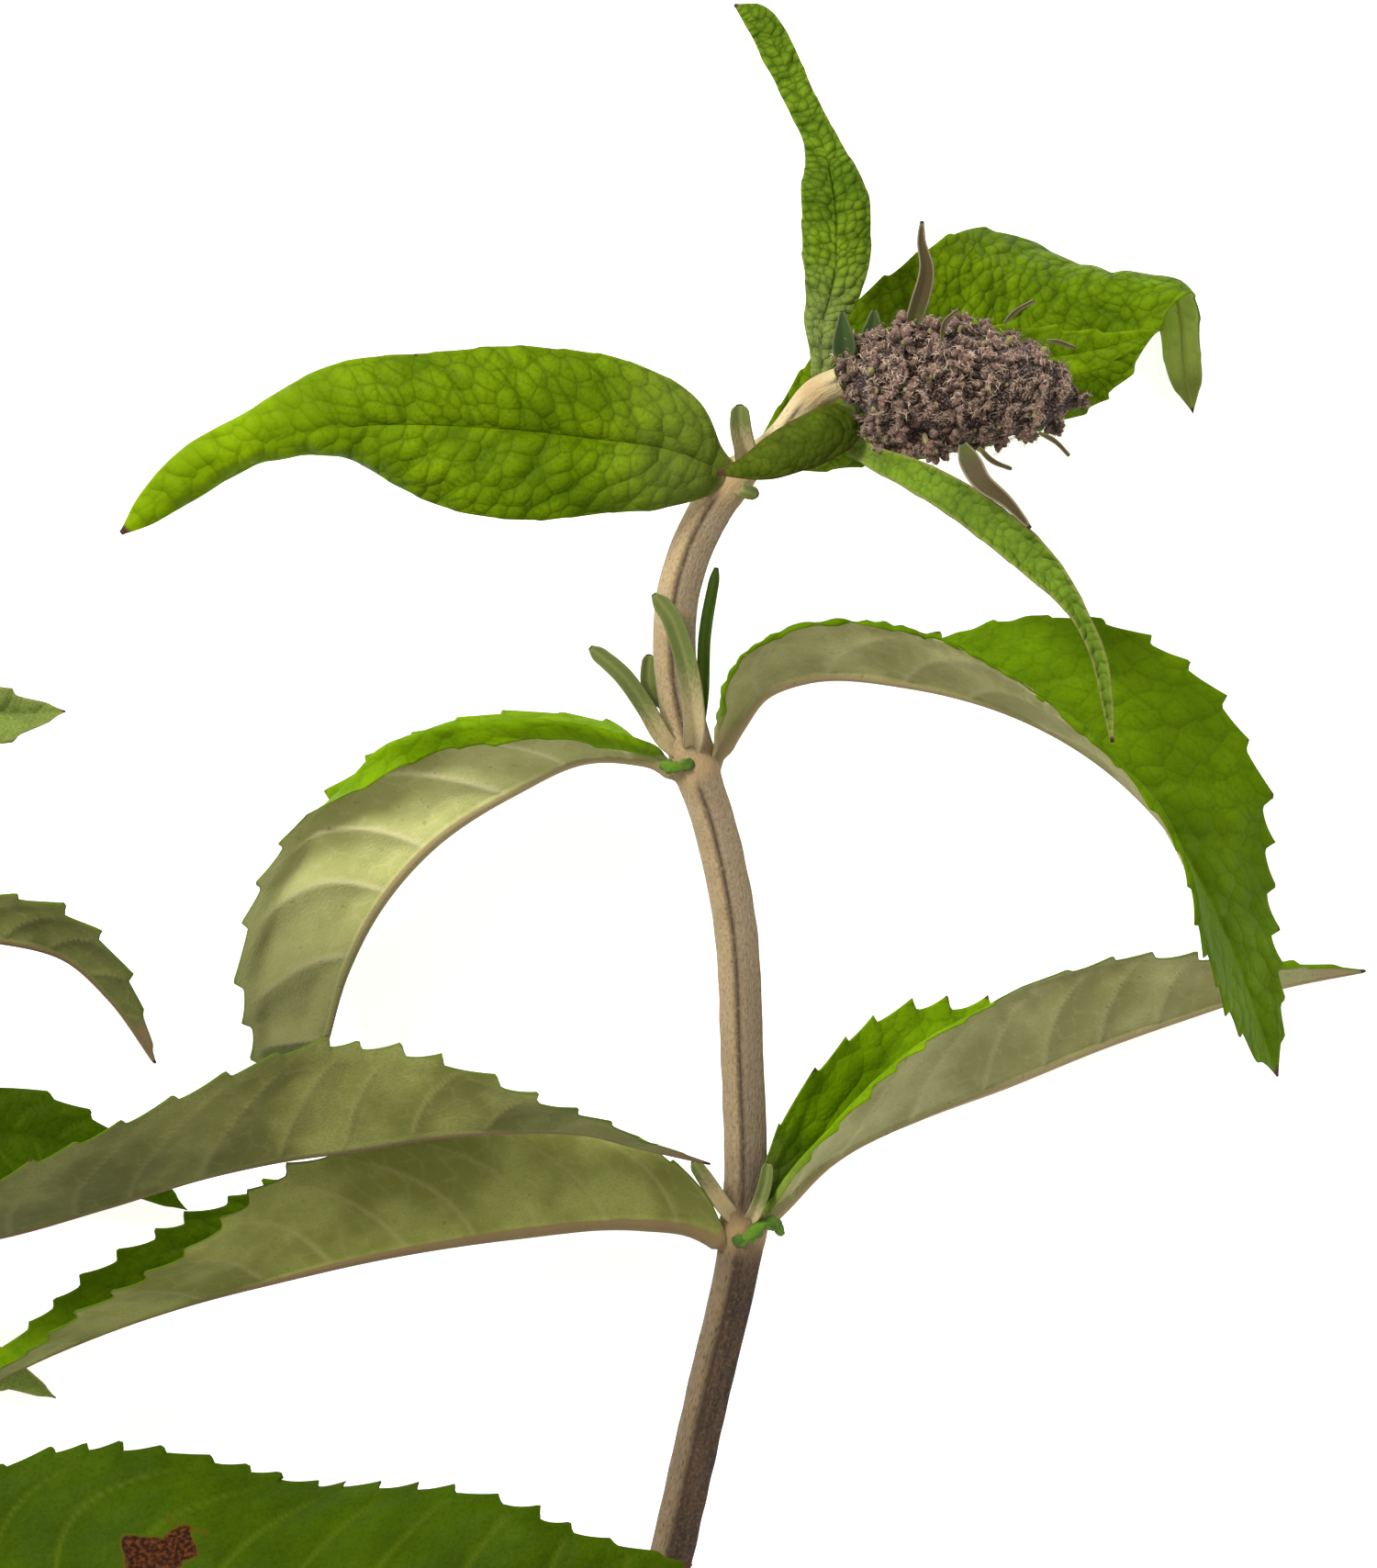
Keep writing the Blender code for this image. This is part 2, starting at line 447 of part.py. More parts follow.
def add_side_leaves(materials, cutter):
    """The leaves of the side shoot; its leaves on the right cross in front of the main stem's."""
    green = materials["leaf"]
    add_leaf("side_leaf_1_right", green, cutter, width=21.5, outline=(LOW_LEFT_UPPER, BROAD_OUTLINE),
             path=[(-107, -116, 10.5), (-98, -112.5, 18), (-80, -109.6, 26), (-60, -109.2, 32),
                   (-34, -109.4, 36), (-14, -108.6, 35), (0.4, -106.2, 32)],
             left=(0, -14, -26, -46, -36, -10, 0), right=(175, 175, 185, 190, 190, 190, 185), curl=-15,
             upwards=True)
    add_leaf("side_leaf_1_left", green, cutter, width=14,
             path=[(-107, -116, 10.5), (-112, -124, 12), (-121, -137, 12.5), (-133, -153, 8),
                   (-146, -170, 1.5)],
             left=(10, 20, 20, 15, 10), right=(170, 165, 160, 165, 170))
    add_leaf("side_leaf_2_right", green, cutter, width=17, outline=CROSSING_OUTLINE,
             path=[(-122, -68, 17), (-116, -65, 22), (-108, -62.8, 28), (-93.8, -61, 37),
                   (-78.8, -56.8, 43), (-64.8, -52.6, 46), (-55.5, -50.6, 47), (-44, -49, 47),
                   (-33.8, -47.4, 46), (-23.8, -46.8, 44), (-13.8, -47.2, 40), (-6.2, -49.2, 35),
                   (3, -51.4, 30)],
             left=(-75, -74, -70, -58, -44, -68, -70), right=(72, 72, 63, 46, 10, 66, 72), curl=15)
    add_leaf("side_leaf_2_left", green, cutter, width=15,
             path=[(-122, -68, 17), (-128, -62, 16), (-137, -54, 14), (-152, -42, 10),
                   (-166, -34, 4.5), (-176, -30, 1.5)],
             left=(15, 20, 15, 10, 10), right=(165, 160, 165, 170, 170))
    add_leaf("side_leaf_3_right", green, cutter, width=8,
             path=[(-126, -21, 24), (-118, -20.5, 25), (-106, -20.5, 25), (-94, -21, 24),
                   (-85, -23.5, 22), (-79, -29, 19), (-72.8, -38, 15)],
             left=(-70, -74, -74, -62, -60), right=(60, 72, 100, 130, 150), curl=10)
    add_leaf("side_leaf_3_left", green, cutter, width=9,
             path=[(-126, -21, 24), (-133, -15, 23), (-143, -7, 20), (-155, 2, 14), (-165, 7, 8)],
             left=(20, 25, 20, 15, 10), right=(160, 155, 160, 165, 170))
    add_leaf("side_leaf_4_right", green, cutter, width=6.2,
             path=[(-125, 24, 31), (-118, 22, 33), (-108, 15.5, 33), (-96, 9.6, 31), (-84.8, 9.9, 28)],
             left=(10, 20, 20, 20, 10), right=(170, 165, 160, 160, 170))
    add_leaf("side_leaf_4_left", green, cutter, width=5.5,
             path=[(-125, 24, 31), (-131, 29, 30), (-140, 35, 27), (-150, 38, 22)],
             left=(20, 25, 20, 15, 10), right=(160, 155, 160, 165, 170))
    add_leaf("side_axil_leaf_upper", green, cutter, width=6.5,
             path=[(-122.4, -61.5, 18), (-117, -56.6, 15), (-107, -51, 13), (-94, -48, 12),
                   (-80, -52, 10), (-68.8, -58.6, 7)],
             left=(5, 5, 0, 0, 0), right=(180, 180, 180, 180, 180))
    add_leaf("side_axil_leaf_lower", green, cutter, width=4,
             path=[(-121.2, -73.5, 16), (-114, -74.5, 12), (-104, -77, 8.5), (-94, -80.8, 6),
                   (-87, -84.5, 4)],
             left=(5, 5, 5, 5, 5), right=(175, 175, 175, 175, 175))
    for name, path in (
            ("side_tip_leaf_right", [(-122.6, 44, 35.2), (-118.4, 47.6, 37), (-114, 55, 39),
                                     (-108, 62, 38)]),
            ("side_tip_leaf_left", [(-122.6, 44, 35.2), (-126.8, 47.6, 36), (-131, 55, 36),
                                    (-135, 63, 33)])):
        add_leaf(name, materials["soft_leaf"], cutter, width=2.6, path=path, teeth=False,
                 outline=LEAFLET_OUTLINE, left=(25, 25, 25), right=(155, 155, 155), columns=1)


def add_small_shoots(materials, cutter):
    """Young leaves in the axils, and the leafy flaps between the leaf stalks."""
    soft = materials["soft_leaf"]
    shoots = (
        ("axil_2_left", 1.2, [(0.2, 3.2, 31.5), (-3.2, 6, 34.5), (-5.9, 10.5, 36.2),
                              (-8.9, 14.7, 37), (-13.4, 18.6, 36.6)]),
        ("axil_2_left_small", 0.9, [(-2.2, 10, 32.5), (-5.2, 13, 33), (-5.4, 17.6, 33.5)]),
        ("axil_2_front", 1.3, [(0.2, 3.2, 31.5), (0.6, 8.2, 38.8), (0, 13.9, 41.6),
                               (-0.9, 18.5, 42), (-2.5, 22.8, 42), (-4.8, 25.8, 41.4)]),
        ("axil_2_right", 1.0, [(0.9, 4, 31), (1.9, 12, 31.5), (2.2, 20, 32), (3.8, 29.4, 33)]),
        ("axil_3_left", 1.0, [(7.4, -60.6, 20), (4.4, -57, 24), (2.4, -54, 25.6),
                              (0.6, -51.4, 26)]),
        ("axil_3_right", 0.9, [(7.8, -60.4, 21), (9.2, -58.2, 24.2), (10.4, -54.8, 25),
                               (10.9, -51.6, 25)]),
        ("axil_1_left", 1.4, [(7.8, 43, 38.2), (7.6, 45.6, 42.4), (7.1, 48, 44),
                              (6.9, 51.4, 44.4)]),
        ("axil_1_right", 1.0, [(6, 41, 37), (7.6, 39.8, 40.4), (9.4, 39.2, 41)]),
    )
    for name, width, path in shoots:
        add_leaf(name, soft, cutter, width=width, path=path, teeth=False, outline=LEAFLET_OUTLINE,
                 left=(10, 20, 20), right=(170, 160, 160), columns=1)
    flaps = (
        ("flap_2", 1.2, [(0.8, 2.2, 33.4), (-1.4, 2, 35.2), (-4, 2.6, 34.6)]),
        ("flap_3", 1.3, [(5.9, -62.2, 21.4), (9.2, -61.8, 23), (12.9, -60.6, 21.2)]),
    )
    for name, width, path in flaps:
        add_leaf(name, soft, cutter, width=width, path=path, teeth=False, outline=LEAFLET_OUTLINE,
                 left=(30, 30, 30), right=(150, 150, 150), columns=1)


def head_radius(share):
    return HEAD_RADIUS * curve(HEAD_SHARES, HEAD_OUTLINE, share)


def join_all(name, pieces, material):
    """One Boolean union of many closed pieces, with the largest shell kept."""
    group = bpy.data.collections.new(name + "_pieces")
    bpy.context.scene.collection.children.link(group)
    for piece in pieces[1:]:
        bpy.context.scene.collection.objects.unlink(piece)
        group.objects.link(piece)
    whole = pieces[0]
    whole.name = name
    union = whole.modifiers.new("union", "BOOLEAN")
    union.operation = "UNION"
    union.operand_type = "COLLECTION"
    union.collection = group
    union.solver = "EXACT"
    whole.data.materials.clear()
    whole.data.materials.append(material)
    bpy.context.view_layer.update()
    joined = bpy.data.meshes.new_from_object(whole.evaluated_get(bpy.context.evaluated_depsgraph_get()))
    whole.modifiers.clear()
    whole.data = joined
    for piece in pieces[1:]:
        bpy.data.objects.remove(piece, do_unlink=True)
    bpy.data.collections.remove(group)
    keep_largest_shell(joined)
    return whole


def keep_largest_shell(mesh):
    work = bmesh.new()
    work.from_mesh(mesh)
    left = set(work.faces)
    shells = []
    while left:
        todo = [left.pop()]
        shell = list(todo)
        while todo:
            for edge in todo.pop().edges:
                for face in edge.link_faces:
                    if face in left:
                        left.remove(face)
                        todo.append(face)
                        shell.append(face)
        shells.append(shell)
    shells.sort(key=len)
    stray = [face for shell in shells[:-1] for face in shell]
    bmesh.ops.delete(work, geom=stray, context="FACES")
    bmesh.ops.triangulate(work, faces=work.faces)
    work.to_mesh(mesh)
    work.free()


def cyme(centre, radius):
    corners = [Vector(centre) + Vector(way) * radius
               for way in ((1, 0, 0), (0, 1, 0), (-1, 0, 0), (0, -1, 0), (0, 0, 1), (0, 0, -1))]
    faces = []
    for side in range(4):
        after = (side + 1) % 4
        faces += [(side, after, 4), (after, side, 5)]
    return add_object("cyme", corners, faces, None, smooth=False)


def add_flower_head(materials, cutter):
    """A blunt spindle of crowded cymes, with the narrow bracts that stand out of it."""
    shares = np.linspace(0.0, 1.0, 9)
    middle, _, left, up = frames(HEAD_AXIS, shares)
    sides = 10
    angles = np.arange(sides) * 2 * math.pi / sides
    radius = np.maximum(head_radius(shares) - CORE_INSET, LEAST_CORE_RADIUS)
    core = middle[:, None, :] + left[:, None, :] * (radius[:, None] * np.cos(angles))[:, :, None]
    core = core + up[:, None, :] * (radius[:, None] * np.sin(angles))[:, :, None]
    pieces = [add_object("head_core", core.reshape(-1, 3), tube_faces(len(shares), sides), None)]
    _, length = path_knots(HEAD_AXIS)
    rows = int(length / CYME_SPACING)
    for row in range(rows + 1):
        share = np.array([0.03 + 0.96 * row / rows])
        centre, _, side, above = frames(HEAD_AXIS, share)
        reach = float(head_radius(share)[0]) - CYME_INSET
        around = max(1, int(2 * math.pi * max(reach, 0) / (CYME_SPACING * 1.25)))
        for place in range(around):
            turn = 2 * math.pi * (place + 0.5 * (row % 2)) / around
            offset = side[0] * math.cos(turn) + above[0] * math.sin(turn)
            size = CYME_RADIUS * (1 - 0.35 * share[0])
            pieces.append(cyme(centre[0] + offset * max(reach, 0.05), size))
    for centre, size in (((22.6, 59.2, 41), 2.1), ((21.6, 56.6, 41.5), 2.2)):
        pieces.append(cyme(centre, size))
    bracts = (
        (1.0, [(29.6, 60.6, 44), (31.2, 65, 46), (32.2, 69.6, 47), (31.5, 73.6, 47),
               (31.6, 76.2, 46.6)]),
        (0.9, [(36.6, 47, 43), (37.6, 42.5, 44), (41, 38.5, 44), (45.2, 35.2, 43)]),
        (0.8, [(21.8, 57, 43), (21.4, 60.5, 45), (20.8, 64.4, 46)]),
        (0.9, [(24.2, 59, 39), (25, 62, 39), (25.6, 64.4, 39)]),
    )
    for width, path in bracts:
        grid = leaf_grid(path, width, (20, 20, 20), (160, 160, 160), 0, LEAFLET_OUTLINE, False, 1)
        points, faces = solid_from_grid(grid, LEAFLET_THICKNESS, False)
        pieces.append(add_object("bract", points, faces, None, smooth=False))
    head = join_all("flower_head", pieces, materials["head"])
    cut_by(head, cutter)


def centre_on_floor():
    """Move everything so that the origin is under the middle of the branch, on the surface."""
    things = [thing for thing in bpy.data.objects if thing.type == "MESH"]
    shown = [thing for thing in things if not thing.hide_render]
    corners = np.array([vertex.co for thing in shown for vertex in thing.data.vertices])
    low = corners.min(axis=0)
    high = corners.max(axis=0)
    shift = Matrix.Translation((-(low[0] + high[0]) / 2, -(low[1] + high[1]) / 2, -low[2]))
    for thing in things:
        thing.data.transform(shift)


def main():
    clear_scene()
    materials = {name: make_material(name) for name in COLOURS}
    main_cutter, side_cutter = add_stems(materials)
    add_main_leaves(materials, main_cutter)
    add_side_leaves(materials, side_cutter)
    add_small_shoots(materials, main_cutter)
    add_flower_head(materials, main_cutter)
    centre_on_floor()


main()
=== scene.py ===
"""The looks of a cut flowering branch of butterfly bush: fine leaves, felted stems and buds.

Shapes are worked out in the part's own millimetres: +X to the right, +Y towards the flower
head and +Z up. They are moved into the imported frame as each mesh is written.
"""
import json
import math

import bmesh
import bpy
import numpy as np
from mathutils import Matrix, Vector


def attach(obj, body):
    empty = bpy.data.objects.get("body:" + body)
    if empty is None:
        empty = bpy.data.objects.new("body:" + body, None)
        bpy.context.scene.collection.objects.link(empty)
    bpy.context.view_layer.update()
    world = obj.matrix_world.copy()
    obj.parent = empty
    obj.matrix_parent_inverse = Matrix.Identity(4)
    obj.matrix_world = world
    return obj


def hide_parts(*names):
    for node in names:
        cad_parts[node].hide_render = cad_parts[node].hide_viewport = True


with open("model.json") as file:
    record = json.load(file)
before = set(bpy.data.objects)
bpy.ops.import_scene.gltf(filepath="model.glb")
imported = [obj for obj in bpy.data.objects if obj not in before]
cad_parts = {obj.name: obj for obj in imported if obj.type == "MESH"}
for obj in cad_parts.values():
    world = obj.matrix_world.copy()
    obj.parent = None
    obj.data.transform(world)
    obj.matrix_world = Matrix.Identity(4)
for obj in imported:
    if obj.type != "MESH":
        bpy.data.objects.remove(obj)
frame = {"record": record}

# Driving dimensions, in millimetres, the same as the part's
STEM_RADIUS = 2.95
STEM_FOOT_RADIUS = 3.5
PEDUNCLE_RADIUS = 1.75
SIDE_STEM_RADIUS = 2.5
SIDE_TIP_RADIUS = 1.1
NODE_SWELLING = 0.16
NODE_REACH = 3.0
PETIOLE_HALF_WIDTH = 1.3
PETIOLE_SHARE = 0.22
TIP_HALF_WIDTH = 0.3
HEAD_RADIUS = 9.2
CYME_RADIUS = 2.6
CYME_SPACING = 3.3
METRES = 0.001

# Fine detail of the leaves, in millimetres
BLADE_HALF_THICKNESS = 0.15
LEAF_ROW_SPACING = 0.46
LEAF_COLUMNS = 34
COLUMN_WIDTH = 0.45
FAR_ROW_SPACING = 0.8
FAR_COLUMNS = 18
TOOTH_PITCH = 5.2
TOOTH_HEIGHT = 1.6
TOOTH_LEAN = 1.1
FULL_TOOTH_HALF_WIDTH = 8.0
NARROW_HALF_WIDTH = 4.0
ROLL_WIDTH = 1.6
PETIOLE_FLARE_REACH = 8.0
PETIOLE_FLARE = 0.35
UNDERSIDE_SHIFT = 7.0
# Shares of a leaf's length: its toothed part, a tooth's peak, and where its stalk ends
TOOTHED_PART = (0.08, 0.97)
TOOTH_PEAK = 0.8
PETIOLE_PART = 0.12
# A margin that turns over by this many degrees is fully rolled and shows few teeth
FULL_ROLL = 150.0
# How far a leaf's sheet stands off its path, towards its upper side
SEAT_OF_UPWARD_LEAF = 0.75
SEAT_OF_ARCHED_LEAF = -0.3
SEAT_OF_YOUNG_LEAF = -0.35
SEAT_OF_BRACT = -0.3
# A leaf's side veins are this far apart, and further on a wide leaf
VEIN_PITCH = 4.2
VEIN_PITCH_OF_WIDTH = 0.33
# Only points close to the margin follow the teeth
MARGIN_POWER = 9
VEIN_WANDER = 0.16
# The raised rib's radius along the leaf
RIB_STATIONS = (0, 0.08, 0.2, 0.5, 1)
RIB_SIZES = (1.35, 1.15, 0.75, 0.5, 0.15)

# Fine detail of the stems; the rings of an end cap and how pale its pith is are by radius
STEM_ROW_SPACING = 0.5
STEM_SIDES = 56
STEM_CORNER = math.radians(74)
CAP_RINGS = (1.0, 0.93, 0.86, 0.6, 0.34, 0.3, 0.02)
PITH_RADII = (0.3, 0.36, 0.84, 0.9, 1.0)
PITH_SHARES = (1.0, 0.55, 0.75, 0.1, 0.0)

# Longer than any distance on the branch that is compared with it
FAR_AWAY = 99.0
# The seeds of the young leaves and of the bracts count up from these
FIRST_SHOOT_SEED = 300
FIRST_BRACT_SEED = 400

# Fine detail of the flower head; each hair has a place along it and half a width per step
BUDS_EACH = 14
CYME_SPREAD = math.radians(108)
GOLDEN_TURN = 2.39996
HAIRS = 15000
HAIR_STEPS = ((0.0, 0.03), (0.33, 0.06), (0.67, 0.055), (1.0, 0.015))
LOOSE_CYMES = (
    ((22.6, 59.2, 41), 2.1), ((21.6, 56.6, 41.5), 2.2), ((24.6, 48.6, 44), 2.2),
    ((26.4, 46.6, 43), 2.3), ((29.8, 45.8, 43.6), 2.3), ((33.4, 45.4, 44), 2.3),
)

# The camera hangs over the branch; the photograph has 8 pixels to the millimetre
PHOTO_HEIGHT_MM = 213.5
CAMERA_DISTANCE = 2500.0
FOCUS_HEIGHT = 30.0
SENSOR = 36.0
# How much brighter than its base colour a surface shows in the studio light
STUDIO_GAIN = 1.3
FLOOR_REACH = 4.0
FLOOR_SHADE = 0.9
FLOOR_GLOW = 0.6
SKY_STRENGTH = 0.6
# Each lamp's place in metres, its width and its power
LAMPS = (("key", (-0.9, 1.0, 1.5), 0.6, 50), ("fill", (1.1, 0.2, 1.3), 1.2, 4))

# Colours as they show on a screen
FELTED_GREEN = (150, 152, 96)
STALK_BEIGE = (196, 178, 132)
SPOT_HALO = (78, 76, 10)
SPOT_DARK = (44, 22, 12)
SPOT_BROWN = (98, 54, 26)
TIP_BROWN = (84, 52, 44)
SHOOT_TIP_BROWN = (52, 40, 26)
STAIN_BROWN = (66, 42, 26)
SPECK_BROWN = (96, 78, 50)
RIB_BEIGE = (166, 144, 104)
LINE_BEIGE = (176, 162, 104)
MARGIN_GREEN = (82, 112, 10)
BARK_TAN = (164, 138, 96)
BARK_MOTTLE = (122, 98, 68)
BARK_SPOT = (118, 92, 64)
GROOVE_BROWN = (56, 40, 32)
NODE_TAN = (188, 156, 108)
STALK_CREAM = (208, 190, 142)
PITH = (206, 200, 160)
BUD_DARK = (46, 26, 22)
BUD_LIGHT = (126, 92, 78)
BUD_TIP = (176, 144, 122)
BUD_FOOT = (96, 80, 52)
BUD_FUZZ = (188, 168, 148)
YOUNG_BUD = (158, 146, 88)
HAIR_SHADE = (96, 68, 56)
HAIR_LIGHT = (246, 216, 184)
# How deep the materials' relief is, in millimetres
BUMP_DEPTH = 0.3
FELT_DEPTH = 0.2

# The cut face stands this share of the axis inside the solid's own
CUT_INSET = 0.0008
# The stem's axis from the cut end to the foot of the flower head
MAIN_AXIS = [
    (-19.5, -186, 3.6), (-15.5, -160, 5.5), (-8, -130, 9), (-2.4, -106, 12), (2.7, -83.3, 15.5),
    (7.4, -61, 19), (7.3, -37, 23.5), (6.2, -18.3, 27), (3.6, -5.8, 29), (0.8, 3, 31),
    (-1.9, 16.8, 33.5), (-1.2, 26.8, 35), (2.8, 36.8, 36.6), (5.9, 41.1, 37.2),
    (12.5, 47.4, 38.8), (17.5, 53, 40), (20.6, 54.6, 40.6),
]
# The side shoot's axis from its fork on the main stem to its growing tip
SIDE_AXIS = [
    (-15.5, -160, 5.5), (-32, -152, 6.5), (-62, -143.5, 8), (-90, -133, 9), (-107, -116, 10.5),
    (-116, -93, 13), (-122, -68, 17), (-126, -21, 24), (-125, 24, 31), (-122, 48, 36),
]
MAIN_NODES = [(-15.5, -160), (7.6, -61), (0.7, 3), (5.9, 41.1), (17.5, 53)]
SIDE_NODES = [(-107, -116), (-122, -68), (-126, -21), (-125, 24)]
SIDE_SPLIT = 0.36

# The flower head's axis and its outline, as shares of its length and of HEAD_RADIUS
HEAD_AXIS = [(21.4, 54.3, 41), (37, 54, 41), (53.4, 52.4, 39)]
HEAD_SHARES = [0.0, 0.05, 0.15, 0.35, 0.55, 0.7, 0.84, 0.94, 1.0]
HEAD_OUTLINE = [0.28, 0.48, 0.84, 0.98, 0.94, 0.86, 0.66, 0.4, 0.12]

# A blade's half width from its stalk to its tip, as shares of its length and of its widest part
LEAF_SHARES = [0.0, 0.05, 0.1, 0.2, 0.32, 0.45, 0.6, 0.75, 0.87, 0.95, 1.0]
LEAF_OUTLINE = [0.0, 0.02, 0.22, 0.66, 0.93, 1.0, 0.93, 0.68, 0.38, 0.16, 0.0]
BROAD_OUTLINE = [0.0, 0.3, 0.62, 0.9, 1.0, 0.98, 0.86, 0.6, 0.3, 0.12, 0.0]
FULL_OUTLINE = [0.0, 0.12, 0.5, 0.88, 1.0, 0.98, 0.86, 0.6, 0.3, 0.12, 0.0]
ARCHED_NEAR = [0.0, 0.08, 0.3, 0.66, 0.8, 0.88, 0.97, 0.86, 0.6, 0.28, 0.0]
ARCHED_FAR = [0.0, 0.04, 0.14, 0.36, 0.5, 0.85, 1.0, 0.8, 0.5, 0.24, 0.0]
DROOPING_NEAR = [0.0, 0.02, 0.1, 0.5, 0.82, 0.84, 0.82, 0.72, 0.5, 0.26, 0.0]
DROOPING_FAR = [0.0, 0.02, 0.16, 0.54, 0.78, 0.8, 0.8, 0.75, 0.5, 0.26, 0.0]
LONG_TIP_LOWER = [0.1, 0.42, 0.64, 0.8, 1.0, 0.94, 0.52, 0.38, 0.28, 0.14, 0.0]
LONG_TIP_UPPER = [0.1, 0.24, 0.62, 0.92, 0.97, 0.84, 0.7, 0.36, 0.25, 0.14, 0.0]
CROSSING_OUTLINE = [0.0, 0.3, 0.62, 0.9, 1.0, 0.98, 0.88, 0.5, 0.26, 0.12, 0.0]
HOOKED_UPPER = [0.0, 0.12, 0.26, 0.55, 0.93, 1.1, 1.08, 0.72, 0.26, 0.15, 0.0]
HOOKED_LOWER = [0.0, 0.1, 0.2, 0.5, 0.7, 0.86, 0.98, 0.62, 0.21, 0.15, 0.0]
TWISTED_OUTLINE = [0.25, 0.27, 0.33, 0.62, 0.98, 0.93, 0.45, 0.4, 0.44, 0.32, 0.0]
SLENDER_OUTLINE = [0.3, 0.35, 0.42, 0.6, 0.82, 0.93, 0.95, 0.42, 0.33, 0.18, 0.0]
LOW_LEFT_UPPER = [0.0, 0.3, 0.62, 0.88, 0.9, 0.88, 0.8, 0.6, 0.3, 0.12, 0.0]
RISING_FAR = [0.0, 0.3, 0.48, 0.72, 0.85, 0.8, 0.8, 0.6, 0.3, 0.12, 0.0]
RISING_NEAR = [0.0, 0.3, 0.62, 0.9, 0.96, 0.9, 0.8, 0.5, 0.2, 0.1, 0.0]
SHOOT_OUTLINE = [0.55, 0.7, 0.8, 0.92, 1.0, 1.0, 1.0, 0.96, 0.86, 0.68, 0.1]
BRACT_OUTLINE = [0.35, 0.5, 0.65, 0.9, 1.0, 0.95, 0.8, 0.55, 0.35, 0.2, 0.0]

SHIFT = np.array(frame["record"]["mounts"][0]["pos_m"]) / METRES - np.array(MAIN_AXIS[0])


def curve(knots, values, at):
    """Read a smooth curve through the values at the given places along the knots."""
    knots = np.asarray(knots, float)
    values = np.asarray(values, float)
    at = np.asarray(at, float)
    slopes = np.gradient(values, knots, axis=0)
    start = np.clip(np.searchsorted(knots, at, side="right") - 1, 0, len(knots) - 2)
    span = knots[start + 1] - knots[start]
    t = (at - knots[start]) / span
    if values.ndim == 2:
        t = t[:, None]
        span = span[:, None]
    rise = t * t * (3 - 2 * t)
    bend_in = t * (1 - t) ** 2
    bend_out = t * t * (t - 1)
    level = values[start] * (1 - rise) + values[start + 1] * rise
    return level + span * (slopes[start] * bend_in + slopes[start + 1] * bend_out)


def path_knots(points):
    """How far along each point of a path is, as a share of its length, and that length."""
    points = np.asarray(points, float)
    steps = np.linalg.norm(np.diff(points, axis=0), axis=1)
    return np.concatenate(([0.0], np.cumsum(steps))) / steps.sum(), steps.sum()


def along(points, at):
    """The places on the smooth path through the points."""
    knots, _ = path_knots(points)
    return curve(knots, points, at)


def unit(vectors):
    """The same directions at a length of 1."""
    smallest = 1e-9
    return vectors / np.maximum(np.linalg.norm(vectors, axis=-1, keepdims=True), smallest)


def frames(points, stations):
    """Tangent, leftward and upward directions along a path, seen from above."""
    step = 0.01
    middle = along(points, stations)
    ahead = along(points, np.clip(stations + step, 0, 1))
    behind = along(points, np.clip(stations - step, 0, 1))
    tangent = unit(ahead - behind)
    left = unit(np.cross((0, 0, 1), tangent))
    return middle, tangent, left, np.cross(tangent, left)


def nearest_share(axis, place):
    """How far along the axis it passes nearest to a place, seen from above."""
    shares = np.linspace(0, 1, 2001)
    flat = along(axis, shares)[:, :2]
    return shares[np.argmin(np.linalg.norm(flat - np.array(place), axis=1))]


def smooth(value, low, high):
    """Rise from 0 at low to 1 at high, gently at both ends."""
    t = np.clip((value - low) / (high - low), 0, 1)
    return t * t * (3 - 2 * t)


def bell(value, width):
    """1 at 0, falling away smoothly over the width."""
    return np.exp(-((value / width) ** 2))


def ripple(x, y, size, seed):
    """Gentle uneven waves of about the given size, between -1 and 1."""
    draw = np.random.default_rng(seed)
    waves = 6
    gain = 1.7
    total = np.zeros(np.broadcast(x, y).shape)
    for _ in range(waves):
        way = draw.uniform(0, 2 * math.pi)
        pace = draw.uniform(0.7, 1.5) * 2 * math.pi / size
        total = total + np.sin(pace * (x * math.cos(way) + y * math.sin(way)) + draw.uniform(0, 6.3))
    return total / waves * gain


def scramble(column, row, seed):
    """A repeatable number between 0 and 1 for each cell of a grid."""
    value = np.sin(column * 127.1 + row * 311.7 + seed * 74.7) * 43758.5453
    return value - np.floor(value)


def cells(x, y, seed):
    """How far each point is from the border of its uneven cell, and the cell's own number."""
    jitter = 0.72
    column = np.floor(x)
    row = np.floor(y)
    nearest = np.full(x.shape, FAR_AWAY)
    second = np.full(x.shape, FAR_AWAY)
    tone = np.zeros(x.shape)
    for step_x in (-1, 0, 1):
        for step_y in (-1, 0, 1):
            here_x = column + step_x
            here_y = row + step_y
            middle_x = here_x + 0.5 + jitter * (scramble(here_x, here_y, seed) - 0.5)
            middle_y = here_y + 0.5 + jitter * (scramble(here_y, here_x, seed + 5) - 0.5)
            distance = np.hypot(x - middle_x, y - middle_y)
            closer = distance < nearest
            second = np.where(closer, nearest, np.minimum(second, distance))
            tone = np.where(closer, scramble(here_x, here_y, seed + 9), tone)
            nearest = np.where(closer, distance, nearest)
    return second - nearest, tone


def shown(colour):
    """The base colour that the studio light shows on a screen as the given colour."""
    screen = np.array(colour) / 255
    plain = np.where(screen <= 0.04045, screen / 12.92, ((screen + 0.055) / 1.055) ** 2.4)
    return (*(plain / STUDIO_GAIN), 1.0)


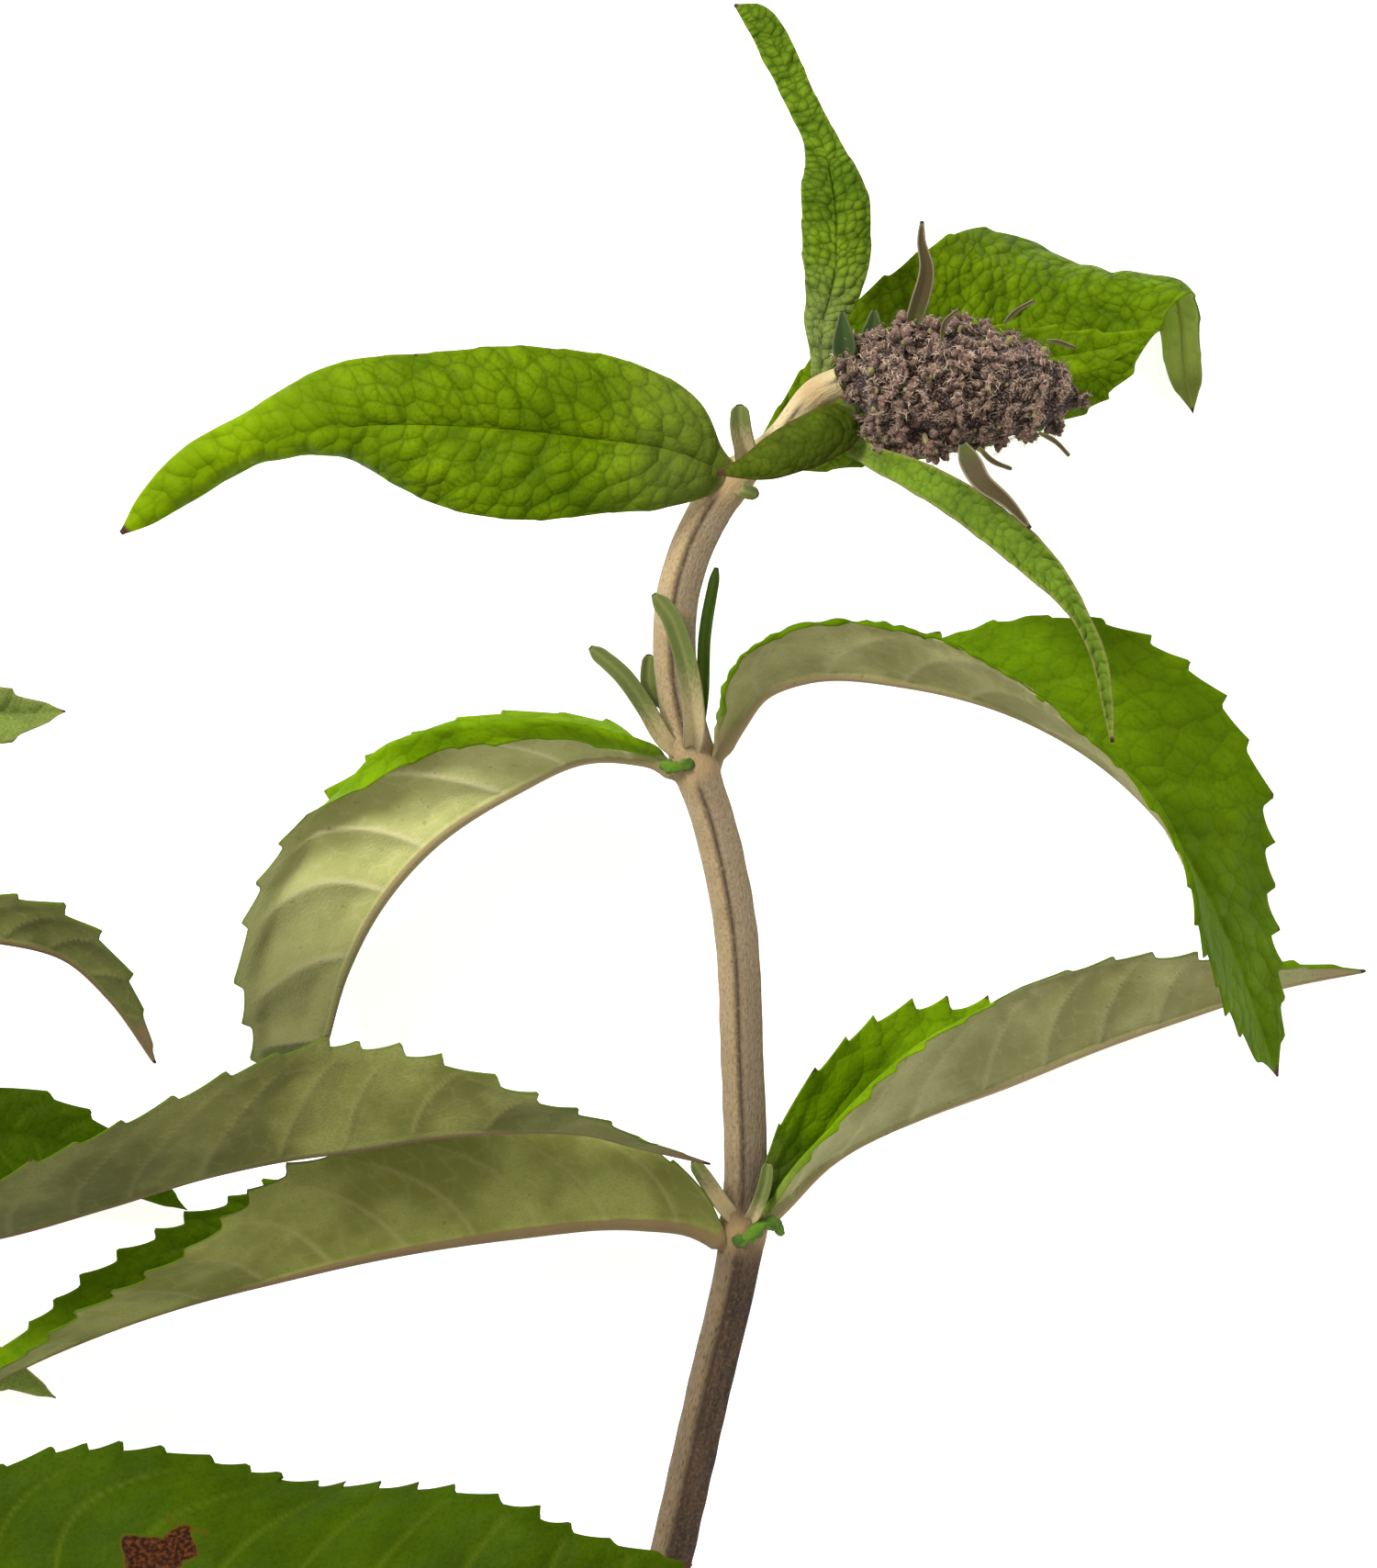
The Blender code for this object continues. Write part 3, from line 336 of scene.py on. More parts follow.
class Finish:
    """A procedural material, painted as layers of colour over each other."""

    def __init__(self, name, roughness, sheen=0.0, specular=0.05):
        self.material = bpy.data.materials.new(name)
        self.material.use_nodes = True
        self.tree = self.material.node_tree
        self.shader = self.tree.nodes["Principled BSDF"]
        self.shader.inputs["Roughness"].default_value = roughness
        self.shader.inputs["Specular IOR Level"].default_value = specular
        self.shader.inputs["Sheen Weight"].default_value = sheen
        self.shader.inputs["Sheen Roughness"].default_value = 0.6

    def feed(self, socket, value):
        """Give a socket another node's output or a plain value."""
        if isinstance(value, bpy.types.NodeSocket):
            self.tree.links.new(value, socket)
        else:
            socket.default_value = value

    def vector(self, name):
        """The values of one of the mesh's attributes."""
        node = self.tree.nodes.new("ShaderNodeAttribute")
        node.attribute_name = name
        return node.outputs["Vector"]

    def parts(self, name):
        """The three numbers that an attribute holds."""
        node = self.tree.nodes.new("ShaderNodeSeparateXYZ")
        self.feed(node.inputs[0], self.vector(name))
        return node.outputs[0], node.outputs[1], node.outputs[2]

    def noise(self, vector, scale, stretch=(1, 1, 1), detail=3.0):
        """Soft random blotches, from 0 to 1."""
        mapping = self.tree.nodes.new("ShaderNodeMapping")
        mapping.inputs["Scale"].default_value = stretch
        self.feed(mapping.inputs["Vector"], vector)
        node = self.tree.nodes.new("ShaderNodeTexNoise")
        node.inputs["Scale"].default_value = scale
        node.inputs["Detail"].default_value = detail
        self.feed(node.inputs["Vector"], mapping.outputs[0])
        return node.outputs["Fac"]

    def voronoi(self, vector, scale, unevenness=1.0, feature="DISTANCE_TO_EDGE"):
        """The distance from the border of an uneven cell, or with F1 from its middle."""
        node = self.tree.nodes.new("ShaderNodeTexVoronoi")
        node.feature = feature
        node.inputs["Scale"].default_value = scale
        node.inputs["Randomness"].default_value = unevenness
        self.feed(node.inputs["Vector"], vector)
        return node.outputs["Distance"]

    def level(self, value, low, high, first=0.0, last=1.0):
        """Goes gently from first to last as the value goes from low to high."""
        node = self.tree.nodes.new("ShaderNodeMapRange")
        node.interpolation_type = "SMOOTHSTEP"
        self.feed(node.inputs["Value"], value)
        node.inputs["From Min"].default_value = low
        node.inputs["From Max"].default_value = high
        node.inputs["To Min"].default_value = first
        node.inputs["To Max"].default_value = last
        return node.outputs[0]

    def maths(self, operation, first, second):
        node = self.tree.nodes.new("ShaderNodeMath")
        node.operation = operation
        self.feed(node.inputs[0], first)
        self.feed(node.inputs[1], second)
        return node.outputs[0]

    def times(self, first, second):
        return self.maths("MULTIPLY", first, second)

    def mix(self, amount, first, second):
        node = self.tree.nodes.new("ShaderNodeMix")
        node.data_type = "RGBA"
        self.feed(node.inputs[0], amount)
        self.feed(node.inputs[6], first)
        self.feed(node.inputs[7], second)
        return node.outputs[2]

    def cover(self, colour):
        """The bottom layer of colour."""
        self.skin = shown(colour)

    def lay(self, amount, colour):
        """Lay a colour over the layers so far, as strongly as the amount says."""
        self.skin = self.mix(amount, self.skin, shown(colour))

    def finished(self, height, strength, distance):
        """Put the layers on, with a relief of the given depth in millimetres."""
        self.feed(self.shader.inputs["Base Color"], self.skin)
        node = self.tree.nodes.new("ShaderNodeBump")
        node.inputs["Strength"].default_value = strength
        node.inputs["Distance"].default_value = distance * METRES
        self.feed(node.inputs["Height"], height)
        self.tree.links.new(node.outputs[0], self.shader.inputs["Normal"])
        return self.material


def leaf_top(name, bright, deep, vein, veined, felt=FELTED_GREEN, rim=None, grit=0.5, valley_shade=0.4,
             puff=0.45, lit=0.0):
    """The upper side of a leaf: green cells with painted shade at their borders, veins, a felted foot
    and dark marks.

    The attribute "marks" holds vein, dome and margin, "tints" holds stain, felt and tone,
    "spots" holds spot and stalk, "blade" holds the place along and across the leaf, and
    "quilt" holds that place in a grid whose cells puff up.
    """
    finish = Finish(name, 0.55, specular=0.02)
    vein_mark, _, margin = finish.parts("marks")
    stain, felted, tone = finish.parts("tints")
    spot, stalk, _ = finish.parts("spots")
    far_along, _, _ = finish.parts("blade")
    blade = finish.vector("blade")
    quilt = finish.vector("quilt")
    middling = tuple(0.5 * (a + b) for a, b in zip(bright, deep))
    light = tuple(min(255, 1.35 * part) for part in bright)
    grain = finish.noise(blade, 1.6, detail=4.0)
    valley = finish.voronoi(quilt, 1.0, 0.75)
    middle = finish.voronoi(quilt, 1.0, 0.75, "F1")
    fine = finish.voronoi(blade, 0.95)
    hair = finish.noise(blade, 2.2, (1, 3.5, 1), 5.0)
    finish.cover(middling)
    finish.lay(finish.level(finish.noise(blade, 0.08), 0.35, 0.65), bright)
    finish.lay(finish.level(tone, 0.0, 1.0, 0.0, 0.35), middling)
    finish.lay(finish.level(grain, 0.45, 0.75, 0.0, 0.45), deep)
    # Painted shade: darker away from each puffed cell's middle and in the valleys between cells
    finish.lay(finish.level(middle, 0.25, 0.75, 0.0, 0.7 * valley_shade), deep)
    finish.lay(finish.level(valley, 0.0, 0.09, valley_shade, 0.0), deep)
    finish.lay(finish.level(fine, 0.0, 0.07, 0.25 * veined, 0.0), vein)
    finish.lay(finish.times(vein_mark, veined), vein)
    finish.lay(finish.times(margin, 0.4), rim or bright)
    # Painted light: lighter towards the leaf's far end
    finish.lay(finish.level(far_along, 45.0, 72.0, 0.0, lit), light)
    finish.lay(finish.times(finish.level(hair, 0.38, 0.62, 0.3, 1.0), felted), felt)
    finish.lay(finish.times(stalk, 0.8), STALK_BEIGE)
    finish.lay(finish.level(spot, 0.2, 0.5), SPOT_HALO)
    finish.lay(finish.level(stain, 0.2, 0.8), TIP_BROWN)
    brown = finish.mix(finish.level(grain, 0.4, 0.7), shown(SPOT_DARK), shown(SPOT_BROWN))
    finish.skin = finish.mix(finish.level(spot, 0.5, 0.75), finish.skin, brown)
    height = finish.maths("ADD", finish.times(grain, 0.25), finish.level(fine, 0.0, 0.25, 0.0, 0.15))
    pillows = finish.times(finish.maths("POWER", middle, 2.0), -2.0 * puff / BUMP_DEPTH)
    return finish.finished(finish.maths("ADD", finish.times(height, grit), pillows), 1.0, BUMP_DEPTH)


def leaf_under(name, pale, deep, vein, rib=RIB_BEIGE, far_shade=0.0, veined=0.35):
    """The felted underside of a leaf, with raised veins, a beige rib and a green margin."""
    finish = Finish(name, 0.8, 0.06)
    vein_mark, dome, margin = finish.parts("marks")
    stain, ribbed, tone = finish.parts("tints")
    far_along, _, _ = finish.parts("blade")
    blade = finish.vector("blade")
    grain = finish.noise(blade, 2.4, (1, 1.6, 1), 5.0)
    shade = tuple(0.6 * part for part in deep)
    specks = finish.noise(blade, 1.1, detail=2.0)
    finish.cover(deep)
    finish.lay(finish.level(finish.noise(blade, 0.1), 0.35, 0.65), pale)
    finish.lay(finish.level(tone, 0.0, 1.0, 0.0, 0.25), deep)
    finish.lay(finish.level(dome, 0.0, 0.7, 0.25, 0.0), vein)
    finish.lay(finish.level(grain, 0.4, 0.7, 0.0, 0.4), deep)
    finish.lay(finish.times(vein_mark, veined), vein)
    finish.lay(finish.level(ribbed, 0.3, 0.9, 0.0, 0.85), rib)
    # Painted shade: darker towards the leaf's far end
    finish.lay(finish.level(far_along, 48.0, 72.0, 0.0, far_shade), shade)
    finish.lay(finish.level(specks, 0.68, 0.74, 0.0, 0.3), SPECK_BROWN)
    finish.lay(finish.level(margin, 0.4, 1.0, 0.0, 0.7), MARGIN_GREEN)
    finish.lay(finish.level(stain, 0.4, 0.8), STAIN_BROWN)
    return finish.finished(grain, 0.5, FELT_DEPTH)


def shoot_finish(name, foot, tip, line=0.15, rim=None):
    """A small young leaf: felted beige at its foot and olive towards its dark-rimmed tip."""
    finish = Finish(name, 0.7, 0.1)
    _, _, margin = finish.parts("marks")
    stain, _, tone = finish.parts("tints")
    _, across, _ = finish.parts("blade")
    grain = finish.noise(finish.vector("blade"), 2.2, (0.6, 1.8, 1), 4.0)
    wander = finish.maths("ADD", tone, finish.times(grain, 0.25))
    dark = tuple(0.55 * part for part in tip)
    finish.cover(foot)
    finish.lay(finish.level(wander, 0.35, 0.75), tip)
    finish.lay(finish.level(grain, 0.5, 0.75, 0.0, 0.2), dark)
    finish.lay(finish.level(finish.maths("ABSOLUTE", across, 0), 0.05, 0.4, line, 0.0), LINE_BEIGE)
    finish.lay(finish.times(margin, 0.6), rim or dark)
    finish.lay(finish.level(stain, 0.4, 0.8), SHOOT_TIP_BROWN)
    return finish.finished(grain, 0.5, FELT_DEPTH)


def bark_finish(name, light, shade, wood, streak):
    """Felted young bark: a lit face and a face in painted shade, dotted grooves, and brown towards the
    foot.

    The attribute "marks" holds groove, shaded face and node, and "tints" holds age, pith and
    how far the stem is the cream-coloured stalk of the flower head.
    """
    finish = Finish(name, 0.85, 0.1)
    groove, shaded, node = finish.parts("marks")
    age, pith, creamy = finish.parts("tints")
    blade = finish.vector("blade")
    worn = finish.level(finish.noise(blade, 0.5, (1.4, 0.18, 1), 4.0), 0.4, 0.62)
    old = finish.mix(worn, shown(wood), shown(streak))
    threads = finish.noise(blade, 1.9, (1.8, 0.5, 1), 6.0)
    thread = finish.times(finish.level(threads, 0.45, 0.7, 0.0, 0.6),
                          finish.maths("ADD", finish.times(age, 0.8), 0.2))
    mottle = finish.noise(blade, 2.4, (1, 0.8, 1), 5.0)
    spots = finish.noise(blade, 1.5, (1.2, 0.9, 1), 3.0)
    dots = finish.level(finish.noise(blade, 1.6, (1.0, 0.8, 1), 2.0), 0.25, 0.5, 0.55, 1.0)
    finish.cover(light)
    # Painted shade on the face turned away from the key light
    finish.lay(shaded, shade)
    finish.lay(finish.level(finish.noise(blade, 0.25), 0.4, 0.7, 0.0, 0.4), BARK_TAN)
    # Old wood covers the face in painted shade fully, and the lit face at 0.7
    older = finish.times(age, finish.level(shaded, 0.0, 1.0, 0.7, 1.0))
    finish.skin = finish.mix(older, finish.skin, old)
    finish.lay(finish.level(mottle, 0.42, 0.68, 0.0, 0.4), BARK_MOTTLE)
    finish.lay(thread, streak)
    finish.lay(creamy, STALK_CREAM)
    finish.lay(finish.level(spots, 0.6, 0.68, 0.0, 0.45), BARK_SPOT)
    finish.lay(finish.times(finish.times(groove, dots), 0.9), GROOVE_BROWN)
    finish.lay(finish.times(node, 0.7), NODE_TAN)
    finish.lay(pith, PITH)
    return finish.finished(threads, 0.7, BUMP_DEPTH)


def bud_finish():
    """Crowded buds: purple-brown with a pale stalk and a greyish fuzz, and the hairs on them.

    The attribute "tints" holds the height on a bud, its tone, random with painted shade where it
    faces inward, and its kind: 0 for a bud, a half for a pale young bud and 1 for a hair.
    """
    finish = Finish("bud_skin", 0.8, 0.1)
    rise, tone, kind = finish.parts("tints")
    fuzz = finish.noise(finish.vector("blade"), 3.2, detail=5.0)
    hair = finish.mix(tone, shown(HAIR_SHADE), shown(HAIR_LIGHT))
    finish.cover(BUD_DARK)
    # Lighter by tone, which holds painted shade on buds that face inward
    finish.lay(tone, BUD_LIGHT)
    finish.lay(finish.level(rise, 0.6, 1.0, 0.0, 0.3), BUD_TIP)
    finish.lay(finish.level(rise, 0.1, 0.4, 1.0, 0.0), BUD_FOOT)
    finish.lay(finish.level(fuzz, 0.5, 0.66, 0.0, 0.55), BUD_FUZZ)
    finish.lay(finish.level(kind, 0.2, 0.4), YOUNG_BUD)
    finish.skin = finish.mix(finish.level(kind, 0.7, 0.9), finish.skin, hair)
    return finish.finished(fuzz, 0.8, BUMP_DEPTH)


def make_finishes():
    """Every material by name; colours are as they show, from the lightest to the darkest."""
    young = dict(felt=(122, 124, 66), grit=0.6)
    return {
        "young_top": leaf_top("young_top", (118, 148, 6), (60, 86, 2), (56, 82, 4), 0.6, **young),
        # lit_top is young_top with painted light towards the far end
        "lit_top": leaf_top("lit_top", (122, 150, 6), (60, 86, 2), (56, 82, 4), 0.6, lit=0.3,
                            **young),
        # A lit copy of flat_top: its brighter colours are painted light for leaves that the studio light
        # shows darker
        "lit_flat_top": leaf_top("lit_flat_top", (126, 162, 6), (84, 116, 2), (120, 152, 20), 0.35,
                               valley_shade=0.3, puff=0.25),
        "quilted_top": leaf_top("quilted_top", (118, 146, 28), (56, 82, 12), (76, 100, 16), 0.2,
                                felt=(158, 158, 106), grit=0.8, valley_shade=0.45, puff=0.6),
        "flat_top": leaf_top("flat_top", (104, 136, 5), (70, 98, 2), (114, 144, 22), 0.35,
                             valley_shade=0.3, puff=0.28),
        "lower_top": leaf_top("lower_top", (66, 90, 2), (40, 60, 1), (86, 102, 18), 0.6,
                              valley_shade=0.12, puff=0.14),
        "dull_top": leaf_top("dull_top", (114, 146, 26), (62, 88, 12), (96, 116, 34), 0.3,
                             felt=(168, 172, 108), rim=(162, 140, 88), valley_shade=0.3, puff=0.3),
        "dark_top": leaf_top("dark_top", (86, 102, 20), (44, 56, 10), (84, 80, 26), 0.3,
                             rim=(92, 52, 26), valley_shade=0.25, puff=0.2),
        "yellow_under": leaf_under("yellow_under", (212, 212, 138), (186, 186, 112),
                                   (238, 228, 172), far_shade=0.8, veined=0.75),
        "beige_under": leaf_under("beige_under", (186, 182, 120), (148, 146, 84), (194, 182, 130)),
        "grey_under": leaf_under("grey_under", (174, 172, 116), (144, 142, 86), (182, 180, 126)),
        "olive_under": leaf_under("olive_under", (134, 136, 72), (100, 102, 46), (148, 144, 86),
                                  rib=(132, 104, 74)),
        "shaded_under": leaf_under("shaded_under", (170, 174, 92), (130, 134, 60), (176, 172, 106),
                                   rib=(140, 112, 80)),
        "pale_under": leaf_under("pale_under", (190, 208, 100), (162, 184, 70), (138, 150, 62),
                                 rib=(136, 144, 64)),
        "shoot": shoot_finish("shoot", (206, 184, 134), (100, 112, 52), rim=(124, 118, 72)),
        "green_shoot": shoot_finish("green_shoot", (140, 160, 76), (96, 134, 40)),
        "flap": shoot_finish("flap", (70, 98, 30), (92, 130, 26)),
        "bract": shoot_finish("bract", (84, 92, 28), (78, 66, 36), 0.0, (176, 164, 130)),
        "foot_bract": shoot_finish("foot_bract", (84, 104, 40), (60, 82, 34), 0.0, (122, 126, 84)),
        "bark": bark_finish("bark", (190, 166, 124), (172, 152, 122), (80, 58, 42), (42, 30, 24)),
        "buds": bud_finish(),
    }


def write_piece(name, nodes, points, faces, finishes, finish_of, layers):
    """Make one mesh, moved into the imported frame, that stands for the given nodes."""
    mesh = bpy.data.meshes.new(name)
    mesh.from_pydata((np.asarray(points) + SHIFT) * METRES, [], faces)
    for finish in finishes:
        mesh.materials.append(finish)
    mesh.polygons.foreach_set("material_index", np.asarray(finish_of, dtype=np.int32))
    for layer, values in layers.items():
        attribute = mesh.attributes.new(layer, "FLOAT_VECTOR", "POINT")
        attribute.data.foreach_set("vector", np.asarray(values, dtype=np.float32).ravel())
    mesh.shade_smooth()
    mesh.update()
    piece = bpy.data.objects.new(name, mesh)
    bpy.context.scene.collection.objects.link(piece)
    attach(piece, "root")
    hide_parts(*nodes)
    return piece


def quads(rows, columns, offset=0, flip=False, closed=False):
    """The four-sided faces of a grid of points, as an array."""
    row = np.arange(rows - 1)[:, None]
    column = np.arange(columns if closed else columns - 1)[None, :]
    after = (column + 1) % columns
    corners = [row * columns + column, row * columns + after,
               (row + 1) * columns + after, (row + 1) * columns + column]
    if flip:
        corners.reverse()
    return np.stack([np.broadcast_to(c, (rows - 1, column.shape[1])) for c in corners],
                    axis=-1).reshape(-1, 4) + offset


def table(*values):
    """One row for each point of a grid, with its three values."""
    return np.stack(values, axis=-1).reshape(-1, 3)


def tooth_profile(stations, length, seed):
    """Forward-pointing teeth of uneven size along one margin, from 0 to about 1."""
    draw = np.random.default_rng(seed)
    first, last = TOOTHED_PART
    count = max(4, int((last - first) * length / TOOTH_PITCH))
    steps = draw.uniform(0.75, 1.25, count)
    starts = first + (last - first) * np.concatenate(([0], np.cumsum(steps))) / steps.sum()
    heights = draw.uniform(0.6, 1.15, count)
    tooth = np.clip(np.searchsorted(starts, stations, side="right") - 1, 0, count - 1)
    t = (stations - starts[tooth]) / (starts[tooth + 1] - starts[tooth])
    front = np.clip((1 - t) / (1 - TOOTH_PEAK), 0, 1)
    profile = np.where(t < TOOTH_PEAK, np.clip(t / TOOTH_PEAK, 0, 1) ** 2.0, front)
    inside = (stations > first) & (stations < last)
    return np.where(inside, profile * heights[tooth], 0)


def half_widths(leaf, stations, length, sign):
    """The blade's half width along its length, never thinner than its stalk and its tip."""
    width = leaf["width"]
    outline = leaf["outline"]
    if isinstance(outline, tuple):
        outline = outline[0 if sign > 0 else 1]
    half = width * np.maximum(curve(LEAF_SHARES, outline, stations), 0)
    least = min(TIP_HALF_WIDTH, width * 0.5)
    narrow = min(PETIOLE_HALF_WIDTH, PETIOLE_SHARE * width) if leaf["teeth"] else least
    foot = narrow * (1 + leaf["flare"] * bell(stations * length, PETIOLE_FLARE_REACH))
    tip = least * (1 - smooth(stations, 0.9, 1.0) * 0.8)
    return np.maximum(half, foot + (tip - foot) * np.clip(stations / PETIOLE_PART, 0, 1))


def half_grid(leaf, stations, length, sign, across):
    """One half of a blade, from its rib to its margin, and each point's distance from the rib."""
    middle, tangent, leftward, upward = frames(leaf["path"], stations)
    half = half_widths(leaf, stations, length, sign)
    rolls = leaf["roll_left"] if sign > 0 else leaf["roll_right"]
    roll = np.interp(stations, np.linspace(0, 1, len(rolls)), rolls)
    rolled_part = np.clip(roll / FULL_ROLL, 0, 1)
    # The part that rolls over is at most half of the half blade, and is added to its width
    reach = np.minimum(leaf["roll_reach"], half * 0.5)
    half = half + np.maximum(reach - ROLL_WIDTH * 0.6, 0) * rolled_part
    size = np.minimum(1, half / FULL_TOOTH_HALF_WIDTH) * leaf["teeth"]
    size = size * (1 - 0.75 * rolled_part)
    teeth = tooth_profile(stations, length, leaf["seed"] + (sign > 0)) * size
    outermost = across[None, :] ** MARGIN_POWER
    out = half[:, None] * across[None, :] + (TOOTH_HEIGHT * teeth)[:, None] * outermost
    share = out / half[:, None]
    # Each row is turned to its angle, bent along its width and rolled at its margin
    angles = leaf["left"] if sign > 0 else leaf["right"]
    angle = np.radians(curve(np.linspace(0, 1, len(angles)), angles, stations))[:, None]
    easing = np.minimum(1, half / NARROW_HALF_WIDTH)[:, None]
    bend = math.radians(leaf["curl"]) * easing * sign
    fold = (half[:, None] - reach[:, None])
    rolled = np.radians(roll)[:, None] * smooth(out, fold, fold + ROLL_WIDTH) * easing * sign
    turned = angle - bend / 2 + bend * share - rolled
    middle_turned = (turned[:, 1:] + turned[:, :-1]) / 2
    steps = np.diff(out, axis=1)
    start = np.zeros((len(stations), 1))
    sideways = np.concatenate((start, np.cumsum(steps * np.cos(middle_turned), axis=1)), axis=1)
    upwards = np.concatenate((start, np.cumsum(steps * np.sin(middle_turned), axis=1)), axis=1)
    grid = middle[:, None, :] + leftward[:, None, :] * sideways[:, :, None]
    grid = grid + upward[:, None, :] * upwards[:, :, None]
    lean = TOOTH_LEAN * (teeth[:, None] * outermost)
    grid = grid + tangent[:, None, :] * lean[:, :, None]
    return grid, out, teeth, half


def blade_normals(grid):
    """Directions out of the blade's upper side."""
    down = np.gradient(grid, axis=0)
    over = np.gradient(grid, axis=1)
    normal = unit(np.cross(over, down))
    rib = grid.shape[1] // 2
    normal[:, rib] = unit(normal[:, rib - 1] + normal[:, rib + 1])
    return normal


def vein_pattern(along_mm, out_mm, side, leaf):
    """Distances to the side veins and to the borders of the cells between them."""
    width = leaf["width"]
    pitch = leaf["vein_pitch"]
    share = out_mm / width
    # The side veins sweep forward, more and more towards the margin
    lead = width * (0.4 * share + 0.75 * share ** 3)
    slope = 0.4 + 2.25 * share ** 2
    seed = leaf["seed"]
    wander = VEIN_WANDER * ripple(along_mm, out_mm * side, 36, seed)
    phase = (along_mm - lead) / pitch + side * 0.25 + wander
    vein = np.abs(phase - np.floor(phase) - 0.5) * pitch / np.sqrt(1 + slope ** 2)
    # The cells between them slant forward and wander a little
    size = leaf["cell_size"]
    drift = 0.35 * out_mm + 0.4 * ripple(along_mm, out_mm * side, 9, seed + 1)
    quilt_x = (along_mm - drift) / size
    quilt_y = out_mm * side / size
    edge, tone = cells(quilt_x, quilt_y, seed)
    apart = vein + 2 * smooth(share, 0.65, 0.9)
    quilt = np.stack((quilt_x, quilt_y, np.zeros_like(quilt_x)), axis=-1)
    return vein, np.minimum(edge * size, apart * 2), tone, quilt


def sheet_faces(rows, wide):
    """The faces of a sheet's two sides and its rim, and 1 for each that is on the underside."""
    count = rows * wide
    faces = [quads(rows, wide), quads(rows, wide, count, flip=True)]
    row = np.arange(rows - 1)
    for column, turn in ((0, 1), (wide - 1, -1)):
        here = row * wide + column
        strip = np.stack((here, here + wide, count + here + wide, count + here), axis=-1)
        faces.append(strip[:, ::turn])
    column = np.arange(wide - 1)
    for start, turn in ((0, -1), ((rows - 1) * wide, 1)):
        here = start + column
        strip = np.stack((here, here + 1, count + here + 1, count + here), axis=-1)
        faces.append(strip[:, ::turn])
    side_of = np.concatenate([np.full(len(part), index == 1) for index, part in enumerate(faces)])
    return np.concatenate(faces).tolist(), side_of


